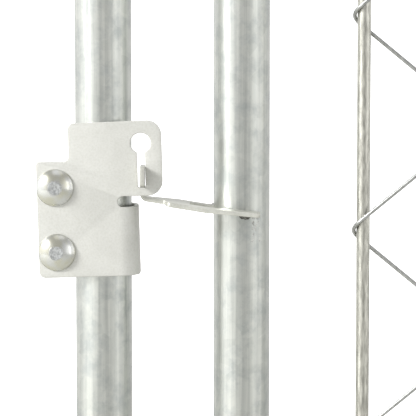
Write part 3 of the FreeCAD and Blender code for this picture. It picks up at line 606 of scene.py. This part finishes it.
# hinge clamps: the same band, with a tongue of the front sheet curled into a barrel
HINGE_HALF = 22.0
CURL_DEGREES = 300
barrel_mid = FAR_POST_X - PIN_X
curl = [(barrel_mid - SPLIT_X + 1, 0), (math.radians(CURL_DEGREES) * BARREL_R, CURL_DEGREES)]
curl_length = curl[0][0] + curl[1][0]
window_end = SPLIT_X + CORNER_R * QUARTER + 1.0
hinge_outline = rounded([(FLANGE_X, -HINGE_HALF, 2.5), (BAND_END, -HINGE_HALF, 2.5),
                         (BAND_END, HINGE_HALF, 2.5), (FLANGE_X, HINGE_HALF, 2.5)])
WINDOW_HALF = 14.4
window = rounded([(SPLIT_X + 0.5, -WINDOW_HALF, 1.0), (window_end, -WINDOW_HALF, 1.0),
                  (window_end, WINDOW_HALF, 1.0), (SPLIT_X + 0.5, WINDOW_HALF, 1.0)])
tongue_start = SPLIT_X - 1
tongue_outline = rounded([(tongue_start, -HALF_BARREL, 0.5),
                          (tongue_start + curl_length, -HALF_BARREL, 0.5),
                          (tongue_start + curl_length, HALF_BARREL, 0.5),
                          (tongue_start, HALF_BARREL, 0.5)])


def curled(point, at):
    (u, v), angle = at(point.x - tongue_start)
    return Vector((u + math.sin(angle) * point.z, v - math.cos(angle) * point.z, point.y))


for hinge_z, end in zip(HINGE_Z, ("lower", "upper")):
    AT_HINGE = Matrix.Translation((FAR_POST_X, 0, hinge_z)) @ Matrix.Rotation(math.pi, 4, "Z")
    clamp = bend(blank([hinge_outline, window], PLATE_EDGE), BAND_RUNS, BAND_START, round_post,
                 SPLIT_X)
    tongue = bend(blank([tongue_outline], PLATE_EDGE), curl, ((tongue_start, FLAT_Y), 0), curled,
                  tongue_start)
    spare = bpy.data.meshes.new("tongue")
    tongue.to_mesh(spare)
    tongue.free()
    clamp.from_mesh(spare)
    bpy.data.meshes.remove(spare)
    clamp.transform(AT_HINGE)
    piece("pressed_" + end + "_hinge_clamp", clamp, "frame", ZINC_SHEET,
          [end + "_hinge_clamp"], sharp=16)


# ---- bolts and nuts -----------------------------------------------------------------
BOLT_X = -20.1
BOLT_R = 3.0
BOLT_LEN = 16.0
HEAD_R = 8.15
THREAD = 1.0
THREAD_DEPTH = 0.3
HEAD_SIDES = 64
RIM_H = 0.5
DOME_TOP = 3.95
DOME_R = (HEAD_R ** 2 + (DOME_TOP - RIM_H) ** 2) / (2 * (DOME_TOP - RIM_H))
FLAT_H = 3.42               # level that the dome is knocked down to
NUT_FLAT, NUT_TALL = 5.0, 5.0
BOLT_HALF_PITCH = 14.25


def carriage_bolt(bm, seed):
    """Cup square bolt, head towards -Y, its dome knocked flat a little off its middle."""
    layer = bm.verts.layers.float.get("worn") or bm.verts.layers.float.new("worn")
    random.seed(seed)
    off_x, off_z = -0.75 + random.uniform(-0.2, 0.2), -0.35 + random.uniform(-0.2, 0.2)
    tilt = random.uniform(-0.02, 0.02)
    rings, wear = [], []
    radii = [0.02] + [0.45 * k for k in range(1, 18)] + [HEAD_R - 0.02]
    for radius in radii:
        ring, worn = [], []
        for off in on_circle(HEAD_SIDES, radius, X, Z):
            dome = DOME_TOP - DOME_R + math.sqrt(DOME_R ** 2 - radius ** 2)
            ragged = noise.noise(Vector((off.x * 0.9, off.z * 0.9, seed)))
            grain = noise.noise(Vector((off.x * 2.2, off.z * 2.2, seed + 5)))
            flat = FLAT_H + tilt * off.x + 0.05 * ragged + 0.03 * grain
            flat += 0.012 * ((off.x - off_x) ** 2 + (off.z - off_z) ** 2) - 0.03
            height = min(dome, flat)
            worn.append(min(max((dome - flat) / 0.06 + 0.4, 0.0), 1.0))
            ring.append(Vector((off.x, -height, off.z)))
        rings.append(ring)
        wear.append(worn)
    rings += [[Vector((off.x, -h, off.z)) for off in on_circle(HEAD_SIDES, r, X, Z)]
              for r, h in ((HEAD_R, 0.35), (HEAD_R, 0.08), (HEAD_R - 0.1, 0.0), (BOLT_R, 0.0))]
    rows = skin(bm, rings)
    for row, worn in zip(rows, wear):
        for vert, value in zip(row, worn):
            vert[layer] = value
    bm.faces.new(rows[0])
    # shank: plain under the head, then a thread cut as a helix
    sides = 24
    shank = [[Vector((off.x, h, off.z)) for off in on_circle(sides, BOLT_R, X, Z)]
             for h in (0.0, 4.5)]
    steps = 8
    count = int((BOLT_LEN - 5.2) / THREAD * steps)
    for k in range(count + 1):
        h = 4.7 + k * THREAD / steps
        ring = []
        for j, off in enumerate(on_circle(sides, 1.0, X, Z)):
            phase = (h / THREAD - j / sides) % 1.0
            depth = THREAD_DEPTH * (1 - abs(2 * phase - 1)) + max(0, h - BOLT_LEN + 0.9) * 0.6
            ring.append(Vector((off.x * (BOLT_R - depth), h, off.z * (BOLT_R - depth))))
        shank.append(ring)
    shank.append([Vector((off.x, BOLT_LEN, off.z)) for off in on_circle(sides, 2.1, X, Z)])
    skin(bm, shank, caps=True)


def hexagon(bm):
    """Nut with both faces chamfered, its axis along Y, from y = 0 to its height."""
    corner, washer_face = NUT_FLAT / math.cos(math.pi / 6), NUT_FLAT * 0.95
    angles = [2 * math.pi * k / 48 for k in range(48)]
    rings = []
    for h, limit in ((0.0, washer_face), (0.45, corner), (NUT_TALL - 0.45, corner),
                     (NUT_TALL, washer_face)):
        ring = []
        for angle in angles:
            from_flat = (angle + math.pi / 6) % (math.pi / 3) - math.pi / 6
            radius = min(NUT_FLAT / math.cos(from_flat), limit)
            ring.append(Vector((radius * math.sin(angle), h, radius * math.cos(angle))))
        rings.append(ring)
    for h, radius in ((NUT_TALL, 3.3), (NUT_TALL - 0.4, 2.9), (0.4, 2.9), (0.0, 3.3)):
        rings.append([Vector((radius * math.sin(a), h, radius * math.cos(a))) for a in angles])
    skin(bm, rings, loop=True)


def fasteners(places, bolts_name, nuts_name, replaced):
    """Copy bolts and nuts to their places, each given as a matrix at the bolt's seat."""
    bolts, nuts = bmesh.new(), bmesh.new()
    for number, place in enumerate(places):
        for target in (bolts, nuts):
            one = bmesh.new()
            if target is bolts:
                carriage_bolt(one, number + 1)
                seat_y = FLAT_Y - SHEET / 2
            else:
                hexagon(one)
                seat_y = -TUBE_R + SHEET
            one.transform(place @ Matrix.Translation((BOLT_X, seat_y, 0)))
            spare_mesh = bpy.data.meshes.new("fastener")
            bmesh.ops.recalc_face_normals(one, faces=one.faces[:])
            one.to_mesh(spare_mesh)
            one.free()
            target.from_mesh(spare_mesh)
            bpy.data.meshes.remove(spare_mesh)
    piece(bolts_name, bolts, "frame", BRIGHT_ZINC, [replaced + "_bolts"], sharp=40)
    piece(nuts_name, nuts, "frame", BRIGHT_ZINC, [replaced + "_nuts"], sharp=25)


latch_mid = (LATCH_LOW + FLANGE_TOP) / 2
fasteners([LEAN @ Matrix.Translation((0, 0, latch_mid + side * BOLT_HALF_PITCH))
           for side in (-1, 1)], "latch_carriage_bolts", "latch_hexagon_nuts", "latch")
fasteners([Matrix.Translation((FAR_POST_X, 0, z + side * BOLT_HALF_PITCH))
           @ Matrix.Rotation(math.pi, 4, "Z") for z in HINGE_Z for side in (-1, 1)],
          "hinge_carriage_bolts", "hinge_hexagon_nuts", "hinge")


# ---- strike -------------------------------------------------------------------------
STRIKE_FRONT, STRIKE_BACK = -21.0, 4.0
FAR_END = STILE_X + 7.9
RISE, RISE_2 = 5.3, 9.2     # degrees, on the stile's side of the bend and on the plate's
BEND_X = 45.0
STRIKE_Z = -1.2             # its middle at the stile's axis, from the latch's level
TAB_X = 17.55
TAB_BEND_R = 1.2
SHOULDER_X, BACK_FULL_X, NECK_X = 28.4, 33.0, 20.8
NECK_FRONT, NECK_BACK = -12.2, -4.5
NOSE = (10.6, 19.4)
NOSE_R = 1.8
SLOT = (-12.5, -3.0)
SLOT_END = STILE_X - 23
tan_1, tan_2 = math.tan(math.radians(RISE)), math.tan(math.radians(RISE_2))
cos_1, cos_2 = math.cos(math.radians(RISE)), math.cos(math.radians(RISE_2))
tab_turn = 90 - RISE_2
tab_r = TAB_BEND_R + SHEET / 2
tab_reach = tab_r * math.tan(math.radians(tab_turn / 2))
far_z = STRIKE_Z - (FAR_END - STILE_X) * tan_1
tab_foot_z = STRIKE_Z + (STILE_X - BEND_X) * tan_1 + (BEND_X - TAB_X) * tan_2
first = (FAR_END - BEND_X) / cos_1
second = (BEND_X - TAB_X) / cos_2 - tab_reach
STRIKE_RUNS = [(first - 1, 0), (2, RISE - RISE_2), (second - 1, 0),
               (math.radians(tab_turn) * tab_r, -tab_turn), (NOSE[1] - tab_foot_z - tab_reach, 0)]
tab_from = sum(length for length, _ in STRIKE_RUNS[:4])


def along(x):
    """Distance along the strike's blank for a place in plan."""
    return (FAR_END - x) / cos_1 if x > BEND_X else first + (BEND_X - x) / cos_2


def up_tab(z):
    """Distance along the blank for a height on the upturned nose."""
    return tab_from + z - tab_foot_z - tab_reach


def strike_place(point, at):
    (u, v), angle = at(point.x)
    return Vector((u + math.sin(angle) * point.z, point.y, v - math.cos(angle) * point.z))


tube_edge = [(along(STILE_X - math.sqrt(TUBE_R ** 2 - y ** 2)), y, 0)
             for y in (-3.0, -0.7, 1.7, STRIKE_BACK)]
strike_outline = rounded([
    (along(FAR_END), STRIKE_FRONT, 1.5), (along(FAR_END), SLOT[0], 0.5),
    (along(SLOT_END), SLOT[0], 2.0), (along(SLOT_END), SLOT[1], 2.0)] + tube_edge + [
    (along(BACK_FULL_X), STRIKE_BACK, 5.0), (along(NECK_X), NECK_BACK, 5.0),
    (up_tab(NOSE[1]), NECK_BACK, 3.0), (up_tab(NOSE[1]), STRIKE_FRONT, NOSE_R),
    (up_tab(NOSE[0]), STRIKE_FRONT, NOSE_R), (up_tab(NOSE[0]), NECK_FRONT, 0.4),
    (along(SHOULDER_X - 1.2), NECK_FRONT, 0.8), (along(SHOULDER_X), STRIKE_FRONT, 2.0)])
strike = bend(blank([strike_outline], 0.3), STRIKE_RUNS,
              ((FAR_END, far_z), 180 - RISE), strike_place, 0.0, step=9.0)
strike.transform(Matrix.Translation((0, 0, LATCH_Z)))
piece("forked_strike", strike, "leaf", STRIKE_SHEET, ["strike"], sharp=16)


# ---- geometry node trees ------------------------------------------------------------
def new_tree(name, inputs):
    """Geometry node tree with named number inputs after its geometry. Gives tree, in and out."""
    tree = bpy.data.node_groups.new(name, "GeometryNodeTree")
    face = tree.interface
    face.new_socket("Geometry", in_out="INPUT", socket_type="NodeSocketGeometry")
    for label, kind in inputs:
        face.new_socket(label, in_out="INPUT", socket_type="NodeSocket" + kind)
    face.new_socket("Geometry", in_out="OUTPUT", socket_type="NodeSocketGeometry")
    return tree, add(tree, "NodeGroupInput"), add(tree, "NodeGroupOutput")


def wires_tree():
    """A path of wire made round, then repeated along a line, every second one turned over."""
    tree, start, end = new_tree("repeated_wires", [
        ("Wire radius", "Float"), ("Count", "Int"), ("First", "Vector"), ("Spacing", "Vector"),
        ("Turn", "Float"), ("Metal", "Material")])
    ring = add(tree, "GeometryNodeCurvePrimitiveCircle", links={
        "Resolution": 12, "Radius": start.outputs["Wire radius"]})
    wire = add(tree, "GeometryNodeCurveToMesh", links={
        "Curve": start.outputs["Geometry"], "Profile Curve": ring,
        "Fill Caps": True})
    line = add(tree, "GeometryNodeMeshLine", links={
        "Count": start.outputs["Count"], "Start Location": start.outputs["First"],
        "Offset": start.outputs["Spacing"]})
    index = add(tree, "GeometryNodeInputIndex")
    odd = add(tree, "ShaderNodeMath", {"operation": "MODULO"}, {0: index, 1: 2.0})
    turn = add(tree, "ShaderNodeMath", {"operation": "MULTIPLY"}, {
        0: odd, 1: start.outputs["Turn"]})
    about = add(tree, "ShaderNodeCombineXYZ", links={"Z": turn})
    copies = add(tree, "GeometryNodeInstanceOnPoints", links={
        "Points": line, "Instance": wire,
        "Rotation": about})
    real = add(tree, "GeometryNodeRealizeInstances", links={"Geometry": copies})
    done = add(tree, "GeometryNodeSetMaterial", links={
        "Geometry": real, "Material": start.outputs["Metal"]})
    feed(tree, end, {"Geometry": done})
    return tree


BEAD_STEP = 0.35            # between the cross-sections of a bead


def bead_tree():
    """A weld bead along a path, its thickness rippled by the welder's steps. Ripple is the
    length of a step, and Depth how much it swells."""
    tree, start, end = new_tree("weld_bead", [
        ("Bead radius", "Float"), ("Ripple", "Float"), ("Depth", "Float"), ("Metal", "Material")])
    fine = add(tree, "GeometryNodeResampleCurve", {"mode": "LENGTH"}, {
        "Curve": start.outputs["Geometry"], "Length": BEAD_STEP})
    place = add(tree, "GeometryNodeSplineParameter")
    phase = add(tree, "ShaderNodeMath", {"operation": "DIVIDE"}, {
        0: place.outputs["Length"], 1: start.outputs["Ripple"]})
    turn = add(tree, "ShaderNodeMath", {"operation": "MULTIPLY"}, {0: phase, 1: 2 * math.pi})
    wave = add(tree, "ShaderNodeMath", {"operation": "SINE"}, {0: turn})
    drift = add(tree, "ShaderNodeTexNoise", links={"Scale": 0.35, "Detail": 2.0})
    both = add(tree, "ShaderNodeMath", {"operation": "ADD"}, {0: wave, 1: drift})
    swell = add(tree, "ShaderNodeMath", {"operation": "MULTIPLY_ADD"}, {
        0: both, 1: start.outputs["Depth"], 2: start.outputs["Bead radius"]})
    ring = add(tree, "GeometryNodeCurvePrimitiveCircle", links={"Resolution": 10, "Radius": 1.0})
    bead = add(tree, "GeometryNodeCurveToMesh", links={
        "Curve": fine, "Profile Curve": ring,
        "Scale": swell, "Fill Caps": True})
    real = add(tree, "GeometryNodeRealizeInstances", links={"Geometry": bead})
    done = add(tree, "GeometryNodeSetMaterial", links={
        "Geometry": real, "Material": start.outputs["Metal"]})
    feed(tree, end, {"Geometry": done})
    return tree


def run_tree(tree, paths, closed, values):
    """Put a tree on a curve of the given paths, and give back its result as a plain mesh."""
    curve = bpy.data.curves.new("path", "CURVE")
    curve.dimensions = "3D"
    for points in paths:
        spline = curve.splines.new("POLY")
        spline.points.add(len(points) - 1)
        for target, point in zip(spline.points, points):
            target.co = (*point, 1)
        spline.use_cyclic_u = closed
    thing = bpy.data.objects.new("path", curve)
    bpy.context.scene.collection.objects.link(thing)
    nodes = thing.modifiers.new("nodes", "NODES")
    nodes.node_group = tree
    for item in tree.interface.items_tree:
        if item.in_out == "INPUT" and item.name in values:
            nodes[item.identifier] = values[item.name]
    bpy.context.view_layer.update()
    evaluated = thing.evaluated_get(bpy.context.evaluated_depsgraph_get())
    mesh = bpy.data.meshes.new_from_object(evaluated)
    thing.modifiers.remove(nodes)
    bpy.data.objects.remove(thing)
    bpy.data.curves.remove(curve)
    return mesh


REPEATED_WIRES = wires_tree()
WELD_BEAD = bead_tree()


# ---- chain-link mesh ----------------------------------------------------------------
def spiral_path():
    """One flattened spiral about x = 0, from the tip of a bend on its +X side at z = 0, down.
    At +X it passes from the back, above, to the front; at -X from the front to the back."""
    reach = SPIRAL_W / 2 - BEND_R
    steps = 10
    plan = []
    for turn in range(HALF_TURNS + 1):
        way = 1 if turn % 2 == 0 else -1
        for k in range(steps + 1):
            angle = QUARTER - math.pi * k / steps
            plan.append((way * (reach + BEND_R * math.cos(angle)), way * BEND_R * math.sin(angle)))
    plan = plan[steps // 2:-(steps // 2)]
    lengths = [0.0]
    for one, two in zip(plan, plan[1:]):
        lengths.append(lengths[-1] + math.dist(one, two))
    drop = HALF_TURNS * PITCH / 2 / lengths[-1]
    return [Vector((x, y, -length * drop)) for (x, y), length in zip(plan, lengths)]


mesh_wire = run_tree(REPEATED_WIRES, [spiral_path()], False, {
    "Wire radius": WIRE_R, "Count": SPIRALS, "Turn": math.pi, "Metal": WIRE_METAL,
    "First": (ROD_X[0] - BEND_R + SPIRAL_W / 2, 0.0, MESH_TOP), "Spacing": (CELL, 0.0, 0.0)})
piece("chain_link_wires", mesh_wire, "leaf", WIRE_METAL,
      ["mesh_wire_%02d" % (k + 1) for k in range(SPIRALS)], sharp=60)


def tie_path(inward):
    """Loop of wire over a rail and round the hooked bends beside it, its ends side by side."""
    big, small, far = TUBE_R + 1.15, BEND_R + WIRE_R + 1.2, 27.0
    tilt = math.asin((big - small) / far)
    points = []
    for k in range(25):
        angle = -tilt - (math.pi - 2 * tilt) * k / 24
        points.append(Vector((-0.9 + 0.03 * k, big * math.cos(angle),
                              inward * big * math.sin(angle))))
    for k in range(17):
        angle = math.pi - math.pi * k / 16
        points.append(Vector((0.2, small * math.cos(angle),
                              inward * (far + small * math.sin(angle)))))
    return points + [Vector((0.9, big - 0.3, inward * 7.0))]


for rail_z, inward, end in ((LEAF_Z[1], -1, "top"), (LEAF_Z[0], 1, "bottom")):
    ties = run_tree(REPEATED_WIRES, [tie_path(inward)], False, {
        "Wire radius": WIRE_R, "Count": SPIRALS // 2, "Turn": 0.0, "Metal": WIRE_METAL,
        "First": (ROD_X[0] + SPIRAL_W - BEND_R - HOOK, 0.0, rail_z),
        "Spacing": (2 * CELL, 0.0, 0.0)})
    piece(end + "_tie_loops", ties, "leaf", WIRE_METAL, [end + "_tie_wires"],
          sharp=60)


# ---- tension rods, pins and washers -------------------------------------------------
low, high, ease = *ROD_Z, 0.5
ROD = [(AXIS, low), (ROD_R - ease, low), (ROD_R, low + ease), (ROD_R, high - ease),
       (ROD_R - ease, high), (AXIS, high)]
for rod_x, side in zip(ROD_X, ("latch", "hinge")):
    bar = bmesh.new()
    lathe(bar, ROD, Vector((rod_x, 0, 0)), count=40)
    piece(side + "_side_bar", bar, "leaf", ROD_METAL,
          [side + "_side_tension_rod"])

stile_mid = Vector((FAR_STILE_X, 0, 0))
toward = Vector((PIN_X, PIN_Y, 0)) - stile_mid
pin_reach = toward.length
toward.normalize()
PIN_BEND = 9.0
PIN_PAST = 9.0              # tip of the pin past the barrel
PIN_EASE = 0.8
WASHER_T = 1.6
# the side that faces the barrel is 0.05 mm low, so that the two never rub
WASHER = [(4.2, 0.15), (4.35, 0), (7.8, 0), (8, 0.2), (8, 1.35), (7.8, 1.55), (4.35, 1.55),
          (4.2, 1.4)]
washers = bmesh.new()
pin_bead_paths = []
for hinge_z, up, end in ((HINGE_Z[0], -1, "lower"), (HINGE_Z[1], 1, "upper")):
    seat_z = hinge_z - up * (HALF_BARREL + WASHER_T)
    arm_z = seat_z - up * PIN_BEND
    tip_z = hinge_z + up * (HALF_BARREL + PIN_PAST)
    path = [stile_mid + toward * (TUBE_R - 0.8) + Z * arm_z]
    turn_mid = stile_mid + toward * (pin_reach - PIN_BEND) + Z * seat_z
    path += [turn_mid + toward * PIN_BEND * math.sin(a) - Z * up * PIN_BEND * math.cos(a)
             for a in [math.radians(7.5 * k) for k in range(13)]]
    path += [Vector((PIN_X, PIN_Y, tip_z - up * PIN_EASE)), Vector((PIN_X, PIN_Y, tip_z))]
    pin = bmesh.new()
    sweep(pin, path, [PIN_R] * (len(path) - 1) + [PIN_R - PIN_EASE], 32)
    piece("bent_" + end + "_pin", pin, "leaf", ROD_METAL, [end + "_hinge_pin"])
    lathe(washers, WASHER, Vector((PIN_X, PIN_Y, seat_z)), Z * up, 48, loop=True)
    around = []
    for off in on_circle(48, PIN_R + 0.5, Z.cross(toward), Z):
        reach = math.sqrt(TUBE_R ** 2 - off.dot(Z.cross(toward)) ** 2) + 0.3
        around.append(stile_mid + Z * arm_z + off + toward * reach)
    pin_bead_paths.append(around)
piece("flat_washers", washers, "leaf", BRIGHT_ZINC, ["hinge_washers"])


# ---- weld beads ---------------------------------------------------------------------
def saddles(x_from, x_to, heights):
    """Paths round each rail end, where it meets its upright."""
    paths = []
    for z in heights:
        for x, inward in ((x_from, 1), (x_to, -1)):
            around = []
            for off in on_circle(72, TUBE_R + 0.25, Y, Z):
                reach = math.sqrt(max((TUBE_R + 0.35) ** 2 - off.y ** 2, 0.0))
                around.append(Vector((x + inward * reach, off.y, z + off.z)))
            paths.append(around)
    return paths


rod_bead_paths = []
for rail_z, inward in ((LEAF_Z[0], 1), (LEAF_Z[1], -1)):
    for rod_x in ROD_X:
        around = []
        for off in on_circle(36, ROD_R + 0.6, X, Y):
            reach = math.sqrt(TUBE_R ** 2 - off.y ** 2) + 0.3
            around.append(Vector((rod_x + off.x, off.y, rail_z + inward * reach)))
        rod_bead_paths.append(around)
for bead_name, paths, body, radius, node in (
        ("frame_weld_beads", saddles(POST_X, FAR_POST_X, FRAME_Z), "frame", 0.95, "frame_welds"),
        ("leaf_weld_beads", saddles(STILE_X, FAR_STILE_X, LEAF_Z), "leaf", 0.95, "leaf_welds"),
        ("rod_weld_beads", rod_bead_paths, "leaf", 0.95, "rod_welds"),
        ("pin_weld_beads", pin_bead_paths, "leaf", 1.0, "hinge_pin_welds")):
    beads = run_tree(WELD_BEAD, paths, True, {
        "Bead radius": radius, "Ripple": 1.9, "Depth": 0.14, "Metal": WELD_METAL})
    piece(bead_name, beads, body, WELD_METAL, [node], sharp=60)

# strike: a tack under the front leg, coloured dark as painted shade under the leg, a bead at the
# rear leg's end, and spatter that ran down the tube
TACK_RADII = [0.3, 0.95, 1.3, 1.1, 1.45, 1.2, 1.1, 0.3]
REAR_RADII = [0.4] + [1.1 + 0.22 * math.sin(2.6 * k) for k in range(10)] + [0.4]
BEAD_SIDES = 14
DROPS = 40
DROP_RUN = 10.5             # how far down the spatter ran
under = LATCH_Z + STRIKE_Z - SHEET / 2
tack = bmesh.new()
shade_under_leg_layer = tack.verts.layers.float.new("shade_under_leg")
sweep(tack, [Vector((STILE_X - 1.4 + 0.72 * k, -TUBE_R + 0.3 + 0.03 * (k - 3) ** 2,
                     under - 0.6 - 0.09 * k)) for k in range(len(TACK_RADII))],
      TACK_RADII, BEAD_SIDES)
# only the tack gets the painted shade; the bead and the spatter added after it stay light
for vert in tack.verts:
    vert[shade_under_leg_layer] = 1.0
rear_z = LATCH_Z + STRIKE_Z + TUBE_R * tan_1
sweep(tack, [Vector((STILE_X - math.sqrt(TUBE_R ** 2 - y ** 2) - 0.3, y, rear_z + 0.3))
             for y in [-2.8 + 0.6 * k for k in range(len(REAR_RADII))]], REAR_RADII, BEAD_SIDES)
random.seed(11)
for k in range(DROPS):
    drop_x = random.uniform(4.3, 7.8)
    drop_z = under - 1.4 - DROP_RUN * random.random() ** 1.3
    size = random.uniform(0.15, 0.42)
    spot = Vector((STILE_X + drop_x, -math.sqrt(TUBE_R ** 2 - drop_x ** 2) + size * 0.35, drop_z))
    ball = bmesh.ops.create_icosphere(tack, subdivisions=2, radius=size)
    for vert in ball["verts"]:
        lump = 1 + 0.35 * noise.noise(vert.co * 3 + Vector((k, 0, 0)))
        vert.co = Vector((vert.co.x * lump, vert.co.y * 0.7, vert.co.z * lump * 1.2)) + spot
piece("strike_weld_beads", tack, "leaf", WELD_METAL, ["strike_welds"], sharp=60)


# ---- stage, camera and light --------------------------------------------------------
FLOOR = 4.5                 # metres from the middle, in front and at the sides
FLOOR_BACK = 3.4            # behind, so that its edge stays under the camera's view
floor_mesh = bpy.data.meshes.new("studio_floor")
floor_mesh.from_pydata([(-FLOOR, -FLOOR, 0), (FLOOR, -FLOOR, 0), (FLOOR, FLOOR_BACK, 0),
                        (-FLOOR, FLOOR_BACK, 0)], [], [(0, 1, 2, 3)])
floor = bpy.data.objects.new("studio_floor", floor_mesh)
bpy.context.scene.collection.objects.link(floor)
floor_paint, floor_tree, floor_shader = new_material("matt_pale_floor")
feed(floor_tree, floor_shader, {"Base Color": paint("#CFCFCB"), "Roughness": 0.9})
floor_mesh.materials.append(floor_paint)

AIM = Vector((0.0463, -0.0145, 0.836))
DISTANCE = 1.109
ELEVATION = math.radians(5.5)
lens = bpy.data.cameras.new("camera")
lens.sensor_width = 36.0
lens.lens = 219.0
lens.clip_end = 500.0
camera = bpy.data.objects.new("camera", lens)
back = Vector((0, -math.cos(ELEVATION), math.sin(ELEVATION)))
camera.location = AIM + back * DISTANCE
camera.rotation_euler = (-back).to_track_quat("-Z", "Y").to_euler()
bpy.context.scene.collection.objects.link(camera)
bpy.context.scene.camera = camera


def softbox(name, place, aim, width, height, watts):
    light = bpy.data.lights.new(name, "AREA")
    light.shape = "RECTANGLE"
    light.size = width
    light.size_y = height
    light.energy = watts
    thing = bpy.data.objects.new(name, light)
    thing.location = place
    thing.rotation_euler = (Vector(aim) - Vector(place)).to_track_quat("-Z", "Y").to_euler()
    bpy.context.scene.collection.objects.link(thing)


bpy.context.scene.view_settings.view_transform = "Standard"

# a strong key high at the left, and weak lights: a narrow one at the right, one overhead
softbox("key", (-3.75, -2.05, 3.1), (0.1, 0, 0.85), 1.1, 1.1, 310)
softbox("side_fill", (3.25, -1.9, 1.2), (0.1, 0, 0.9), 0.6, 2.4, 5)
softbox("over", (0.4, -0.6, 4.2), (0.3, 0, 0.7), 2.4, 2.4, 8)

# the room, seen only in reflections: walls given as (degrees from the front, brightness),
# duller where the camera stands, and a dull ceiling
WALLS = ((-180, 1.1), (-125, 1.2), (-85, 1.55), (-48, 1.45), (-15, 0.64), (20, 0.6), (38, 0.9),
         (50, 1.5), (66, 0.95), (90, 1.8), (112, 0.95), (150, 0.9), (180, 1.1))
WALL_PEAK = 1.8
CEILING = 0.62
world = bpy.data.worlds.new("studio")
bpy.context.scene.world = world
world.use_nodes = True
sky = world.node_tree
glow = sky.nodes["Background"]
direction = add(sky, "ShaderNodeTexCoord")
parts = add(sky, "ShaderNodeSeparateXYZ", links={"Vector": direction.outputs["Generated"]})
front = add(sky, "ShaderNodeMath", {"operation": "MULTIPLY"}, {0: parts.outputs["Y"], 1: -1.0})
compass = add(sky, "ShaderNodeMath", {"operation": "ARCTAN2"}, {0: parts.outputs["X"], 1: front})
turned = add(sky, "ShaderNodeMapRange", links={
    "Value": compass, "From Min": -math.pi, "From Max": math.pi})
walls = add(sky, "ShaderNodeValToRGB", links={"Fac": turned}, stops=[
    ((degrees + 180) / 360, [level / WALL_PEAK] * 3 + [1]) for degrees, level in WALLS])
height = add(sky, "ShaderNodeMapRange", {"interpolation_type": "SMOOTHSTEP"}, {
    "Value": parts.outputs["Z"], "From Min": 0.15, "From Max": 0.75})
room = add(sky, "ShaderNodeMix", {"data_type": "RGBA"}, {
    0: height, 6: walls, 7: [CEILING / WALL_PEAK] * 3 + [1]})
# the backdrop, seen only directly: white behind the gate and a pale grey round the rest
aside = add(sky, "ShaderNodeMath", {"operation": "ABSOLUTE"}, {0: compass})
behind = add(sky, "ShaderNodeMapRange", links={
    "Value": aside, "From Min": math.radians(140),
    "From Max": math.radians(165)})
backdrop = add(sky, "ShaderNodeMix", {"data_type": "RGBA"}, {
    0: behind, 6: paint("#9C9D9C"), 7: paint("#FFFFFF")})
seen = add(sky, "ShaderNodeLightPath")
light = add(sky, "ShaderNodeMix", {"data_type": "RGBA"}, {0: seen, 6: room, 7: backdrop})
feed(sky, glow, {"Color": light, "Strength": WALL_PEAK})
